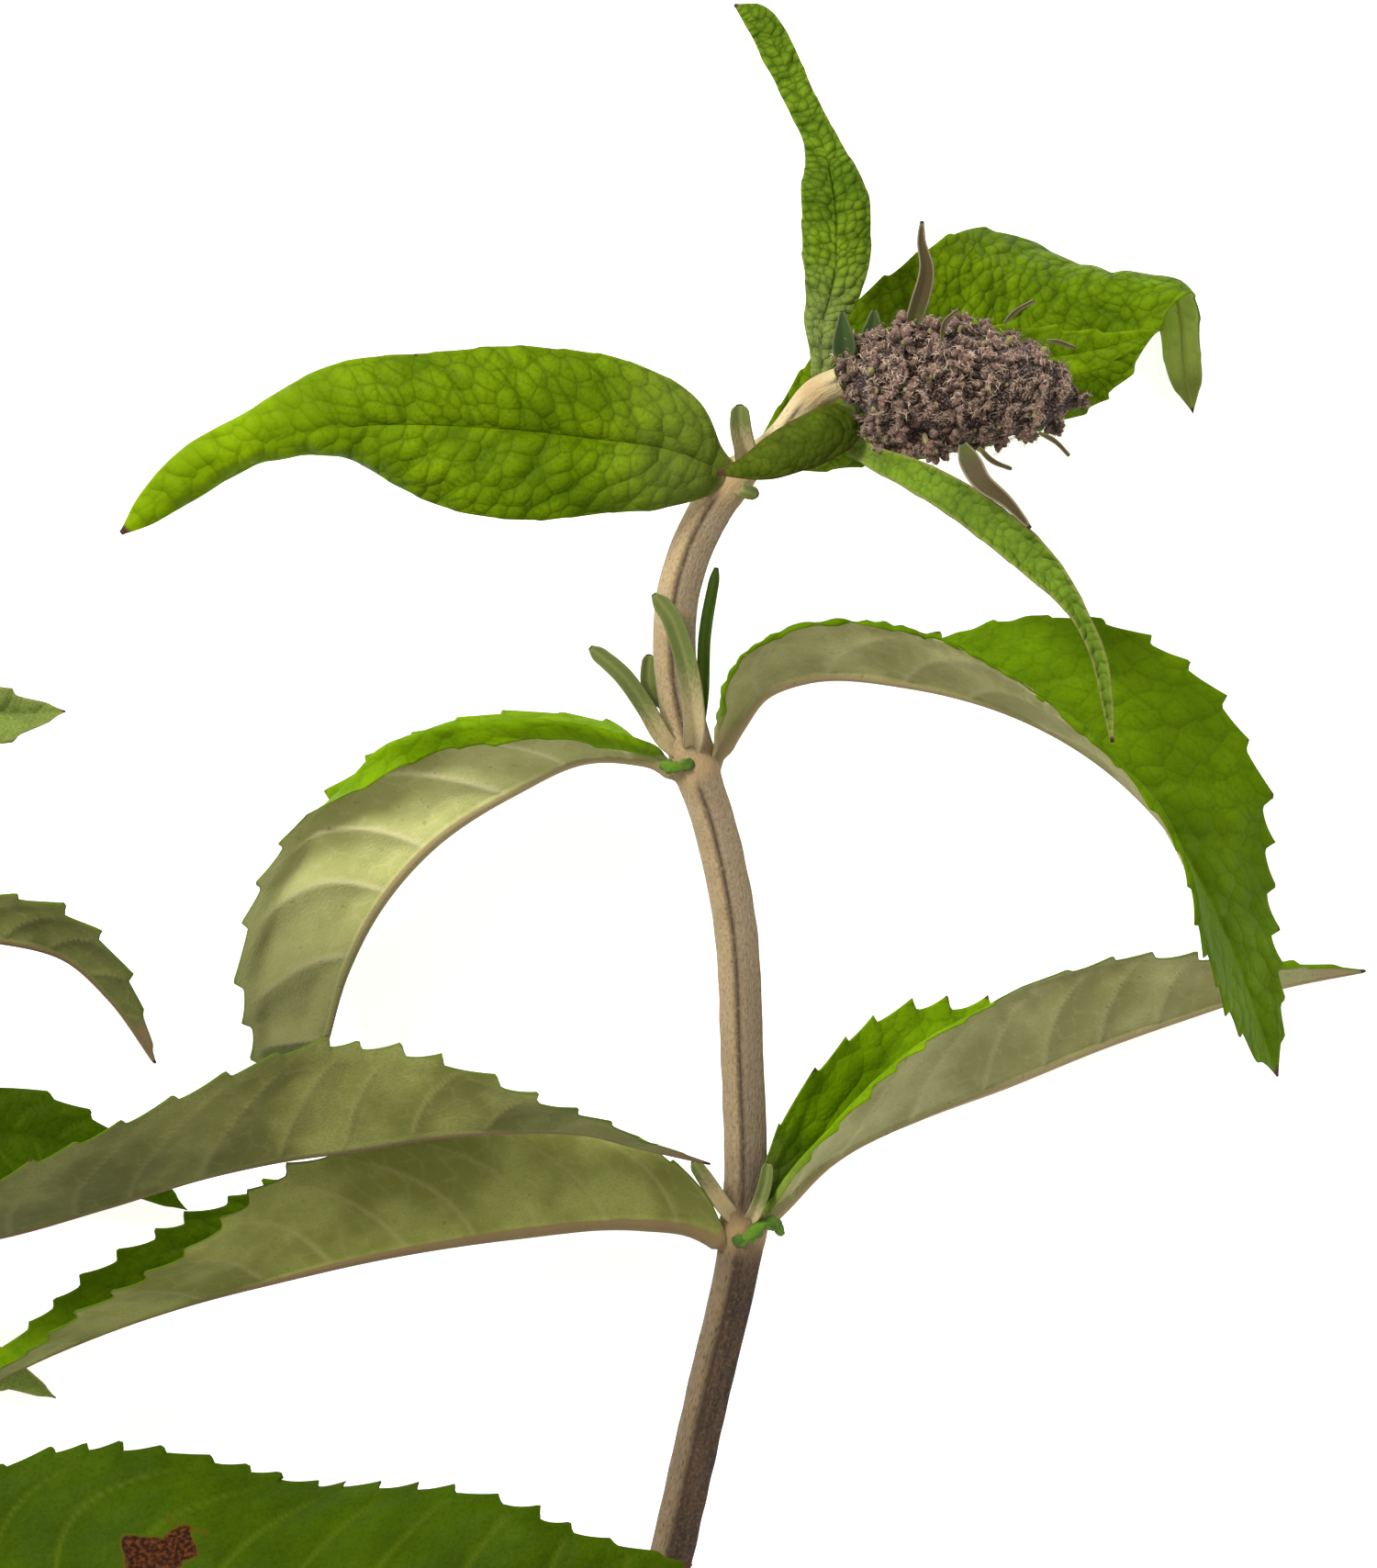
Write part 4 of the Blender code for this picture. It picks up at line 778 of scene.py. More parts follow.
class Blade:
    """The sheet of one leaf: its points and, for each of them, where on the leaf it is."""

    def __init__(self, leaf, far):
        self.leaf = leaf
        width = leaf["width"]
        _, length = path_knots(leaf["path"])
        self.columns = FAR_COLUMNS if far else max(8, min(LEAF_COLUMNS, int(width / COLUMN_WIDTH)))
        self.rows = max(24, int(length / (FAR_ROW_SPACING if far else LEAF_ROW_SPACING)))
        self.stations = np.linspace(0, 1, self.rows)
        even = np.linspace(0, 1, self.columns + 1)
        across = even - 0.38 * np.sin(2 * math.pi * even) / (2 * math.pi)
        left = half_grid(leaf, self.stations, length, 1, across)
        right = half_grid(leaf, self.stations, length, -1, across)
        self.half = np.minimum(left[3], right[3])
        self.grid = np.concatenate((left[0][:, :0:-1], right[0]), axis=1)
        self.out = np.concatenate((left[1][:, :0:-1], right[1]), axis=1)
        side = np.concatenate((np.ones(self.columns), np.zeros(1), -np.ones(self.columns)))[None, :]
        self.tooth = np.where(side > 0, left[2][:, None], right[2][:, None])
        self.along = np.broadcast_to((self.stations * length)[:, None], self.out.shape)
        self.station = np.broadcast_to(self.stations[:, None], self.out.shape)
        self.over = self.out * side
        self.edge_share = np.concatenate((across[:0:-1], across))[None, :]
        self.vein, self.cell_edge, self.tone, self.quilt = vein_pattern(
            self.along, self.out, side, leaf)
        self.body = smooth(self.half, 1.4, 3.6)[:, None] * np.ones_like(self.out)
        self.inner = 1 - smooth(self.edge_share, 0.72, 0.95)

    def waves(self, size, number):
        """Uneven waves over the blade, in an order of their own for each number."""
        return ripple(self.along, self.over, size, self.leaf["seed"] + number)

    def shape(self, relief, pillow, rib, frill):
        """How far the upper side rises and the underside falls from the sheet's middle."""
        out = self.out
        # Veins grow thinner outward, stop short of the margin and cut between the domed cells
        vein_width = (0.2 + 0.008 * self.leaf["width"]) * (1.25 - 0.7 * self.edge_share)
        self.vein_mark = bell(self.vein, vein_width) * self.inner * self.body * smooth(out, 0.2, 1.2)
        dome = np.clip(self.cell_edge / (0.42 * self.leaf["cell_size"]), 0, 1)
        dome = dome * (2 - dome) * (1 - 0.8 * bell(self.vein, vein_width * 1.3))
        self.dome = dome * smooth(out, 0.2, 1.0) * self.body
        # The rib is a ridge underneath, stout at the leaf's foot
        rib_radius = rib * np.interp(self.stations, RIB_STATIONS, RIB_SIZES)[:, None]
        rib_radius = rib_radius * (1 + self.leaf["flare"] * bell(self.along[:, :1], PETIOLE_FLARE_REACH))
        rib_radius = np.minimum(rib_radius, self.half[:, None] * 0.98)
        rib_rise = np.sqrt(np.clip(1 - (out / rib_radius) ** 2, 0, 1)) * rib_radius
        ribbed = 1 - smooth(out, rib_radius * 0.7, rib_radius * 1.05)
        self.rib_mark = np.maximum(ribbed, 1 - self.body)
        # The blade billows between its veins, waves towards its margin and is frilled if asked
        lift = pillow * (1 - bell(self.vein, self.leaf["vein_pitch"] * 0.2)) * self.body * self.inner
        lift = lift * smooth(out, 0.5, 3.5)
        outward = self.edge_share ** 2 * self.body
        lift = lift + 0.35 * self.waves(17, 3) * outward
        frilled = frill * (1 - smooth(self.stations, 0.45, 0.65))[:, None]
        lift = lift + frilled * self.waves(2.8, 4) * outward
        # Both sides leave the middle by the thickness, the lift and their own relief
        thin = BLADE_HALF_THICKNESS * (1 - 0.5 * smooth(self.edge_share, 0.9, 1.0))
        rise = relief * self.dome * (1 - 0.6 * smooth(self.edge_share, 0.93, 1.0))
        groove = 0.2 * rib * bell(out, 0.7) * (0.4 + 0.6 * self.body)
        top_rise = thin + lift + rise - 0.16 * self.vein_mark - groove
        under_fall = thin - lift - 0.55 * rise + 0.2 * self.vein_mark + rib_rise
        return top_rise, under_fall

    def spots(self, stains, upper):
        """Where the brown spots are, each given by its place, radius and strength."""
        spot = np.zeros_like(self.out)
        for (x, y), radius, amount in stains:
            distance = np.hypot(upper[:, :, 0] - x, upper[:, :, 1] - y)
            distance = distance * (1 + 0.28 * self.waves(radius * 1.6, 7))
            spot = np.maximum(spot, amount * (1 - smooth(distance, radius * 0.7, radius * 1.3)))
        return spot

    def layers(self, felt_foot, felt, dark_tip, felted_share, spot):
        """The values that the materials read, for the points of the top and the underside."""
        width = self.leaf["width"]
        toothed = self.leaf["teeth"] > 0
        margin = 1 - smooth(self.half[:, None] * (1 - self.edge_share), 0.0, min(0.55, 0.18 * width))
        tip = smooth(self.station, 1 - dark_tip, 1.0)
        point = smooth(self.tooth * self.edge_share ** MARGIN_POWER, 0.7, 1.0) * 0.8
        stain = np.maximum(tip, point)
        low_part = 1 - smooth(self.stations, 0.14, 0.24)[:, None]
        slim = 1 - smooth(self.half / width, 0.08, 0.2)[:, None]
        stalk = slim * low_part * toothed * np.ones_like(self.out)
        foot = 1 - smooth(self.station, felt_foot * 0.5, felt_foot * 1.6)
        felted = np.clip(foot * 0.5 + felt, 0, 1)
        tone = self.tone if toothed else self.station + 0.55 - felted_share
        zero = np.zeros_like(self.out)
        blade = table(self.along, self.over, zero)
        return {
            "marks": np.concatenate((table(self.vein_mark, self.dome, margin),
                                     table(self.vein_mark, self.dome, margin * self.body))),
            "tints": np.concatenate((table(stain, felted, tone), table(stain, self.rib_mark, tone))),
            "blade": np.concatenate((blade, blade + (0, 0, UNDERSIDE_SHIFT))),
            "quilt": np.tile(self.quilt.reshape(-1, 3), (2, 1)),
            "spots": np.tile(table(spot, stalk, spot), (2, 1)),
        }


def add_leaf(finish, node, top, under, path, width, left, right, curl=0.0,
             outline=LEAF_OUTLINE, teeth=1.0, upwards=False, roll_left=(0, 0), roll_right=(0, 0),
             roll_reach=1.6, cell_size=3.0, relief=0.05, pillow=0.35, rib=1.0, felt_foot=0.1,
             felt=0.0, dark_tip=0.02, stains=(), frill=0.0, far=False, seed=1, felted_share=0.5,
             seat=None):
    """One leaf as a thin sheet with two faces, veins, cells, teeth and a raised rib.

    "left" and "right" are the angles in degrees of its halves along its length, "curl" bends
    each half, and the rolls turn the margins over. An upwards leaf lies on top of its path, and
    another one under it, unless its own seat is given.
    """
    leaf = dict(path=path, width=width, left=left, right=right, curl=curl, outline=outline,
                teeth=teeth, roll_left=roll_left, roll_right=roll_right, roll_reach=roll_reach,
                seed=seed, flare=PETIOLE_FLARE if teeth else 0.0,
                vein_pitch=VEIN_PITCH + VEIN_PITCH_OF_WIDTH * width, cell_size=cell_size)
    blade = Blade(leaf, far)
    top_rise, under_fall = blade.shape(relief, pillow, rib, frill)
    normal = blade_normals(blade.grid)
    if seat is None:
        seat = SEAT_OF_UPWARD_LEAF if upwards else SEAT_OF_ARCHED_LEAF
    grid = blade.grid + normal * seat
    upper = grid + normal * top_rise[:, :, None]
    lower = grid - normal * under_fall[:, :, None]
    points = np.concatenate((upper.reshape(-1, 3), lower.reshape(-1, 3)))
    faces, side_of = sheet_faces(blade.rows, 2 * blade.columns + 1)
    layers = blade.layers(felt_foot, felt, dark_tip, felted_share, blade.spots(stains, upper))
    return write_piece(node + "_fine", [node], points, faces,
                       [finish[top], finish[under]], side_of, layers)


def add_main_leaves(finish):
    """The pairs on the main stem, from the lowest node to the foot of the flower head."""
    add_leaf(
        finish, "leaf_3_right", "lit_flat_top", "grey_under", width=16.5,
        outline=(RISING_FAR, RISING_NEAR), seed=11, roll_right=(120, 120, 60, 20, 0), curl=20,
        path=[(7.8, -60.8, 19), (11.9, -57.5, 18.5), (18.8, -51.4, 17.5), (31.2, -45.3, 16.5),
              (43.8, -40.6, 15.5), (56.2, -35.7, 14), (68.8, -31.4, 11.5), (81.2, -27.6, 7.5),
              (93.1, -25.4, 3)],
        left=(45, 34, -12, -45, -55, -55, -40), right=(75, 72, 50, 34, 32, 45, 65))
    add_leaf(
        finish, "leaf_3_left", "lit_flat_top", "shaded_under", width=16, outline=FULL_OUTLINE, seed=21,
        curl=15, rib=1.1,
        path=[(8.2, -65, 18), (5.2, -62.4, 19.8), (1.2, -60.4, 21.2), (-6.2, -59.6, 23),
              (-23.8, -61, 26), (-40, -63.5, 28), (-56.2, -67.2, 28), (-68.8, -70.6, 27),
              (-81.2, -75, 24), (-93.8, -80.8, 20), (-101, -85, 17)],
        left=(120, 155, 165, 160, 120, 112, 110), right=(230, 215, 210, 212, 212, 205, 205))
    add_leaf(
        finish, "leaf_2_right", "flat_top", "beige_under", width=18.5,
        outline=(ARCHED_FAR, ARCHED_NEAR), seed=31, roll_right=(150, 150, 150, 150, 110, 20, 0),
        roll_reach=1.6, curl=15, rib=1.1, frill=0.3,
        path=[(1.8, -1.6, 28), (2.6, 1.6, 29.6), (4.2, 5, 32), (6.4, 8.4, 33.8), (9.6, 12.4, 35.5),
              (16, 14.8, 38), (30, 14, 40), (44, 10, 41), (56.2, 3, 40), (65.4, -6, 38),
              (73.4, -20.5, 34), (80.6, -39.8, 28)],
        left=(-55, -62, -50, -22, -28, -52, -50), right=(80, 58, 60, 80, 90, 106, 112))
    add_leaf(
        finish, "leaf_2_left", "lit_flat_top", "yellow_under", width=19,
        outline=(DROOPING_NEAR, DROOPING_FAR), seed=41, curl=8,
        roll_left=(100, 160, 165, 160, 60, 20, 0, 0), roll_reach=4.5, rib=1.1, pillow=1.0,
        path=[(2.4, -3.6, 26.6), (0.6, -0.6, 27.8), (-1.8, 2, 29.4), (-4.4, 3.5, 30.2), (-7.5, 4, 30.2),
              (-13.8, 3.9, 29), (-24, -0.6, 27), (-35.4, -8.3, 24), (-43.1, -17.5, 21),
              (-47.2, -25.8, 18.5), (-50, -35.5, 15), (-54.5, -46, 8)],
        left=(110, 118, 136, 166, 174, 168, 160), right=(250, 248, 228, 205, 208, 262, 270))
    add_leaf(
        finish, "leaf_1_left", "lit_top", "beige_under", width=12.2, upwards=True, curl=-70,
        outline=(LONG_TIP_LOWER, LONG_TIP_UPPER), seed=51, relief=0.0, pillow=0.3, cell_size=2.6,
        felt_foot=0.16, teeth=0.12, dark_tip=0.025, stains=(((-36.8, 58.4), 0.5, 0.9),),
        path=[(5.9, 41.5, 38), (3.2, 43, 40.5), (-1.2, 44.8, 43), (-13.8, 46.8, 46.5),
              (-28.8, 48.3, 48), (-43.8, 48.6, 47), (-56.2, 47, 44), (-67.5, 41.8, 40),
              (-76.9, 34.2, 36)],
        left=(-10, -5, -5, -20, -60, -60, -20), right=(190, 185, 182, 182, 190, 195, 200))
    add_leaf(
        finish, "leaf_1_right", "young_top", "pale_under", width=14,
        outline=(HOOKED_UPPER, HOOKED_LOWER), seed=61, curl=-15, upwards=True, relief=0.0, pillow=0.5,
        cell_size=1.8, teeth=0.4, felt_foot=0.04,
        path=[(6.2, 41.8, 37), (12.5, 45.5, 31), (23.8, 51.8, 23), (36.2, 57.4, 18), (45, 62, 16),
              (53.8, 66.5, 14), (61.2, 69.2, 12), (65.6, 68.5, 9), (67.2, 63.5, 7), (67.8, 58, 5.5),
              (69.4, 50.9, 4)],
        left=(0, 0, 0, 0, -62, -130, -175), right=(220, 222, 200, 180, 178, 60, 5))
    add_leaf(
        finish, "leaf_0_left", "quilted_top", "beige_under", width=4.5, curl=-70, upwards=True,
        outline=TWISTED_OUTLINE, seed=71, relief=0.0, rib=0.7, felt_foot=0.22, cell_size=1.25,
        teeth=0.3, pillow=0.1,
        path=[(17.9, 53, 40), (18.1, 58, 38.5), (18.3, 62.5, 37), (19.2, 66, 36), (20, 70, 35),
              (20.1, 75, 33.5), (19.8, 80, 32), (18.6, 86, 29), (17.7, 88.4, 27.8), (15.3, 93.3, 25),
              (12.2, 100, 22), (9.5, 104.6, 19.8), (6.6, 106.4, 18)],
        left=(-10, -10, -10, -10, -20, -10, -10), right=(190, 190, 190, 190, 200, 190, 190))
    add_leaf(
        finish, "leaf_0_right", "dull_top", "beige_under", width=2.7, curl=70, outline=SLENDER_OUTLINE,
        seed=81, relief=0.0, rib=0.6, felt_foot=0.14, felt=0.1, cell_size=1.4, teeth=0.3, pillow=0.1,
        path=[(17.5, 52.6, 40), (20.6, 47.4, 41), (24.4, 44.6, 43.5), (30.2, 41.9, 48),
              (35.6, 38.9, 52), (41, 35, 55.5), (45.5, 31.3, 57.5), (52.6, 22.7, 60.3),
              (55.3, 16.6, 61), (56.1, 12.4, 61.3), (57, 5.6, 61.5)],
        left=(20, 20, 20, 20, 30, 30, 30), right=(160, 160, 160, 160, 150, 150, 150))
    add_leaf(
        finish, "leaf_00_front", "dark_top", "olive_under", width=3.5, curl=-30,
        upwards=True, seed=91, rib=0.6, dark_tip=0.1, teeth=0.2, cell_size=1.3, pillow=0.1,
        outline=BROAD_OUTLINE,
        path=[(22.6, 51, 41), (19.6, 48.2, 46.5), (14.9, 45.8, 48.5), (9.9, 43.4, 48), (4.2, 42, 45.5)],
        left=(-10, -20, -20, -20, -10), right=(200, 205, 210, 200, 190))
    add_leaf(
        finish, "leaf_00_back", "young_top", "grey_under", width=5, curl=-15, upwards=True, seed=101,
        relief=0.35, rib=0.6,
        path=[(19.6, 54.3, 40.4), (19.6, 54.6, 34), (21.5, 55.6, 28.5), (27, 57, 26), (38, 57.5, 25.5),
              (48, 58, 26), (57, 59.5, 27.5), (64.8, 62, 30)],
        left=(5, 5, 5, 5, 5), right=(175, 175, 175, 175, 175))


def add_side_leaves(finish):
    """The leaves of the side shoot; its leaves on the right cross in front of the main stem's."""
    add_leaf(
        finish, "side_leaf_1_right", "lower_top", "grey_under", width=21.5,
        outline=(LOW_LEFT_UPPER, BROAD_OUTLINE), seed=111, curl=-15, upwards=True, pillow=0.5,
        stains=(((-73.5, -106), 3.6, 1.0), ((-69.5, -103.6), 2.6, 1.0)),
        path=[(-107, -116, 10.5), (-98, -112.5, 18), (-80, -109.6, 26), (-60, -109.2, 32),
              (-34, -109.4, 36), (-14, -108.6, 35), (0.4, -106.2, 32)],
        left=(0, -14, -26, -46, -36, -10, 0), right=(175, 175, 185, 190, 190, 190, 185))
    add_leaf(
        finish, "side_leaf_1_left", "lower_top", "grey_under", width=14, seed=121, far=True,
        path=[(-107, -116, 10.5), (-112, -124, 12), (-121, -137, 12.5), (-133, -153, 8),
              (-146, -170, 1.5)],
        left=(10, 20, 20, 15, 10), right=(170, 165, 160, 165, 170))
    add_leaf(
        finish, "side_leaf_2_right", "flat_top", "olive_under", width=17, outline=CROSSING_OUTLINE,
        seed=131, curl=15, rib=0.6,
        path=[(-122, -68, 17), (-116, -65, 22), (-108, -62.8, 28), (-93.8, -61, 37), (-78.8, -56.8, 43),
              (-64.8, -52.6, 46), (-55.5, -50.6, 47), (-44, -49, 47), (-33.8, -47.4, 46),
              (-23.8, -46.8, 44), (-13.8, -47.2, 40), (-6.2, -49.2, 35), (3, -51.4, 30)],
        left=(-75, -74, -70, -58, -44, -68, -70), right=(72, 72, 63, 46, 10, 66, 72))
    add_leaf(
        finish, "side_leaf_2_left", "lower_top", "grey_under", width=15, seed=141, far=True,
        path=[(-122, -68, 17), (-128, -62, 16), (-137, -54, 14), (-152, -42, 10), (-166, -34, 4.5),
              (-176, -30, 1.5)],
        left=(15, 20, 15, 10, 10), right=(165, 160, 165, 170, 170))
    add_leaf(
        finish, "side_leaf_3_right", "flat_top", "olive_under", width=8, seed=151, curl=10,
        path=[(-126, -21, 24), (-118, -20.5, 25), (-106, -20.5, 25), (-94, -21, 24), (-85, -23.5, 22),
              (-79, -29, 19), (-72.8, -38, 15)],
        left=(-70, -74, -74, -62, -60), right=(60, 58, 44, 42, 46))
    add_leaf(
        finish, "side_leaf_3_left", "lower_top", "grey_under", width=9, seed=161, far=True,
        path=[(-126, -21, 24), (-133, -15, 23), (-143, -7, 20), (-155, 2, 14), (-165, 7, 8)],
        left=(20, 25, 20, 15, 10), right=(160, 155, 160, 165, 170))
    add_leaf(
        finish, "side_leaf_4_right", "dull_top", "grey_under", width=6.2, seed=171, felt=0.5,
        path=[(-125, 24, 31), (-118, 22, 33), (-108, 15.5, 33), (-96, 9.6, 31), (-84.8, 9.9, 28)],
        left=(10, 20, 20, 20, 10), right=(170, 165, 160, 160, 170))
    add_leaf(
        finish, "side_leaf_4_left", "young_top", "grey_under", width=5.5, seed=181, far=True,
        path=[(-125, 24, 31), (-131, 29, 30), (-140, 35, 27), (-150, 38, 22)],
        left=(20, 25, 20, 15, 10), right=(160, 155, 160, 165, 170))
    add_leaf(
        finish, "side_axil_leaf_upper", "lower_top", "grey_under", width=6.5, seed=191,
        path=[(-122.4, -61.5, 18), (-117, -56.6, 15), (-107, -51, 13), (-94, -48, 12), (-80, -52, 10),
              (-68.8, -58.6, 7)],
        left=(5, 5, 0, 0, 0), right=(180, 180, 180, 180, 180))
    add_leaf(
        finish, "side_axil_leaf_lower", "dull_top", "grey_under", width=4, seed=201, felt=0.4,
        path=[(-121.2, -73.5, 16), (-114, -74.5, 12), (-104, -77, 8.5), (-94, -80.8, 6),
              (-87, -84.5, 4)],
        left=(5, 5, 5, 5, 5), right=(175, 175, 175, 175, 175))


def add_small_shoots(finish):
    """Young leaves in the axils and at the side shoot's tip, and the flaps between the stalks."""
    shoots = (
        ("axil_2_left", 1.25, 0.5, [(0.2, 3.2, 31.5), (-3.2, 6, 34.5), (-5.9, 10.5, 36.2),
                                    (-8.9, 14.7, 37), (-13.4, 18.6, 36.6)]),
        ("axil_2_left_small", 1.0, 0.0, [(-2.2, 10, 32.5), (-5.2, 13, 33), (-5.4, 17.6, 33.5)]),
        ("axil_2_front", 1.5, 0.6, [(0.2, 3.2, 31.5), (0.8, 8.2, 38.8), (0.2, 13.9, 41.6),
                                    (-0.9, 18.5, 42), (-2.5, 22.8, 42), (-4.8, 25.8, 41.4)]),
        ("axil_2_right", 0.75, 0.0, [(0.9, 4, 31), (1.9, 12, 31.5), (2.2, 20, 32), (3.8, 29.4, 33)]),
        ("axil_3_left", 1.1, 0.85, [(7.4, -60.6, 20), (4.4, -57, 24), (2.4, -54, 25.6),
                                   (0.6, -51.4, 26)]),
        ("axil_3_right", 0.9, 0.5, [(7.8, -60.4, 21), (9.2, -58.2, 24.2), (10.4, -54.8, 25),
                                    (10.9, -51.6, 25)]),
        ("axil_1_left", 1.5, 0.75, [(7.8, 43, 38.2), (7.6, 45.6, 42.4), (7.1, 48, 44),
                                    (6.9, 51.4, 44.4)]),
        ("axil_1_right", 1.0, 0.6, [(6, 41, 37), (7.6, 39.8, 40.4), (9.4, 39.2, 41)]),
        ("side_tip_leaf_right", 2.6, 0.3, [(-122.6, 44, 35.2), (-118.4, 47.6, 37), (-114, 55, 39),
                                           (-108, 62, 38)]),
        ("side_tip_leaf_left", 2.6, 0.3, [(-122.6, 44, 35.2), (-126.8, 47.6, 36),
                                          (-131, 55, 36), (-135, 63, 33)]),
    )
    for number, (node, width, felted, path) in enumerate(shoots):
        skin = "green_shoot" if node == "axil_2_right" else "shoot"
        add_leaf(finish, node, skin, skin, path=path, width=width,
                 outline=SHOOT_OUTLINE, teeth=0.0, left=(25, 30, 30), right=(155, 150, 150),
                 seed=FIRST_SHOOT_SEED + number, rib=0.35, relief=0.06, pillow=0.0,
                 dark_tip=0.015, felted_share=felted, seat=SEAT_OF_YOUNG_LEAF)
    flaps = (
        ("flap_2", 0.85, [(0.9, 3, 33.9), (-1.6, 2.3, 34.6), (-4, 2.6, 33.6)]),
        ("flap_3", 0.95, [(5.9, -62.5, 21.6), (8.2, -61.9, 22.7), (10.2, -60.1, 22.6),
                          (12, -60.2, 21.8), (12.8, -61.8, 21)]),
    )
    for node, radius, path in flaps:
        add_flap(finish, node, path, radius)


def ring_points(middle, left, up, radius, angles, flatness=1.0):
    """Points round a path, at a radius for each place and angle."""
    points = middle[:, None, :] + left[:, None, :] * (radius * np.cos(angles))[:, :, None]
    return points + up[:, None, :] * (radius * np.sin(angles) * flatness)[:, :, None]


def add_flap(finish, node, path, radius):
    """A small crinkled leafy roll that crosses the stem between two leaf stalks."""
    rows = 44
    sides = 22
    crinkle = 1.1
    shares = np.linspace(0, 1, rows)
    middle, _, left, up = frames(path, shares)
    _, length = path_knots(path)
    angles = np.arange(sides) * 2 * math.pi / sides
    along_mm = np.broadcast_to((shares * length)[:, None], (rows, sides))
    around = angles[None, :] * radius * np.ones((rows, 1))
    edge, tone = cells(along_mm / crinkle, around / crinkle, 3)
    ends = np.sqrt(np.clip(1 - (2 * shares - 1) ** 6, 0.001, 1))
    size = radius * ends[:, None] * (0.82 + 0.3 * np.clip(edge * 1.4, 0, 1))
    size = size * (1 + 0.16 * np.sin(along_mm * 2.1))
    points = ring_points(middle, left, up, size, angles, 0.8)
    faces = quads(rows, sides, closed=True)
    zero = np.zeros_like(tone)
    layers = {"marks": table(zero, edge, zero), "tints": table(zero, zero, tone),
              "blade": table(along_mm, around, zero)}
    write_piece(node + "_fine", [node], points.reshape(-1, 3), faces.tolist(),
                [finish["flap"]], np.zeros(len(faces)), layers)


def corner_offset(angles):
    """How far each direction round the stem is from the nearest of its four ridges."""
    quarter = math.pi / 2
    return np.mod(angles - STEM_CORNER + quarter / 2, quarter) - quarter / 2


def stem_surface(axis, shares, radii, nodes):
    """A four-angled tube with ridges, a groove beside each ridge, and swollen nodes."""
    middle, _, left, up = frames(axis, shares)
    _, length = path_knots(axis)
    distance = np.full(len(shares), FAR_AWAY)
    for place in nodes:
        distance = np.minimum(distance, np.abs(shares - nearest_share(axis, place)) * length)
    swell = NODE_SWELLING * bell(distance, NODE_REACH)
    angles = -math.pi / 2 + np.arange(STEM_SIDES) * 2 * math.pi / STEM_SIDES
    offset = corner_offset(angles)
    ridge = 0.04 * np.cos(4 * (angles - STEM_CORNER)) + 0.05 * bell(offset + 0.1, 0.16)
    groove = bell(offset - 0.15, 0.13)
    around = angles[None, :] * radii[:, None]
    height = (shares * length)[:, None] * np.ones_like(around)
    rough = 0.02 * ripple(around * 3, height * 0.5, 3.0, 7)
    calm = 1 - smooth(bell(distance, NODE_REACH), 0.2, 0.9)[:, None]
    radius = radii[:, None] * (1 + swell[:, None] + (ridge - 0.07 * groove)[None, :] * calm + rough)
    points = ring_points(middle, left, up, radius, angles)
    whole = np.ones_like(around)
    # The face turned away from the key light, which the bark paints in shade
    shaded = smooth(angles, STEM_CORNER + 0.05, STEM_CORNER + 0.3) * whole
    near_node = bell(distance, NODE_REACH * 0.8)[:, None] * whole
    marks = np.stack((groove[None, :] * calm * whole, shaded, near_node), axis=-1)
    blade = np.stack((around, height, np.zeros_like(around)), axis=-1)
    return points, marks, blade, middle


def add_stem(node, axis, start, end, radii_of, nodes, finish, age_of, capped):
    """One length of stem, closed at both ends; a cut end shows its wood and pith."""
    _, length = path_knots(axis)
    rows = int((end - start) * length / STEM_ROW_SPACING)
    shares = np.linspace(start, end, rows)
    points, marks, blade, middle = stem_surface(axis, shares, radii_of(shares), nodes)
    age = age_of(shares)[:, None] * np.ones((1, STEM_SIDES))
    creamy = smooth(-age, 0, 1)
    age = np.maximum(age, 0)
    tints = np.stack((age, np.zeros_like(age), creamy), axis=-1)
    faces = [quads(rows, STEM_SIDES, closed=True)]
    total = rows * STEM_SIDES
    all_points = [points.reshape(-1, 3)]
    all_layers = {"marks": [marks.reshape(-1, 3)], "tints": [tints.reshape(-1, 3)],
                  "blade": [blade.reshape(-1, 3)]}
    for ring, flip in ((0, False), (rows - 1, True)):
        cap = np.array(CAP_RINGS)
        centre = middle[ring]
        rings = (centre + (points[ring][None, :, :] - centre) * cap[:, None, None]).reshape(-1, 3)
        pith = np.interp(cap, PITH_RADII, PITH_SHARES) * capped
        tint = np.stack((np.full(len(cap), age[ring, 0]), pith, cap * 0), axis=-1)
        faces.append(quads(len(cap), STEM_SIDES, total, flip=not flip, closed=True))
        total += len(rings)
        all_points.append(rings)
        all_layers["marks"].append(np.zeros_like(rings))
        all_layers["tints"].append(np.repeat(tint, STEM_SIDES, axis=0))
        all_layers["blade"].append(rings)
    faces = np.concatenate(faces)
    layers = {layer: np.concatenate(values) for layer, values in all_layers.items()}
    return write_piece(node + "_fine", [node], np.concatenate(all_points), faces.tolist(),
                       [finish], np.zeros(len(faces)), layers)


def main_radii(shares):
    """The main stem's radius: stout at its foot, and thin above its last pair of leaves."""
    node_one = nearest_share(MAIN_AXIS, MAIN_NODES[3])
    knots = [0.0, 0.08, 0.3, node_one - 0.02, node_one + 0.03, 1.0]
    sizes = [STEM_FOOT_RADIUS, STEM_FOOT_RADIUS, STEM_RADIUS, STEM_RADIUS * 0.96,
             PEDUNCLE_RADIUS, PEDUNCLE_RADIUS * 1.1]
    return np.interp(shares, knots, sizes)


def side_radii(shares):
    """The side shoot's radius, which tapers evenly to its tip."""
    return SIDE_STEM_RADIUS + (SIDE_TIP_RADIUS - SIDE_STEM_RADIUS) * shares


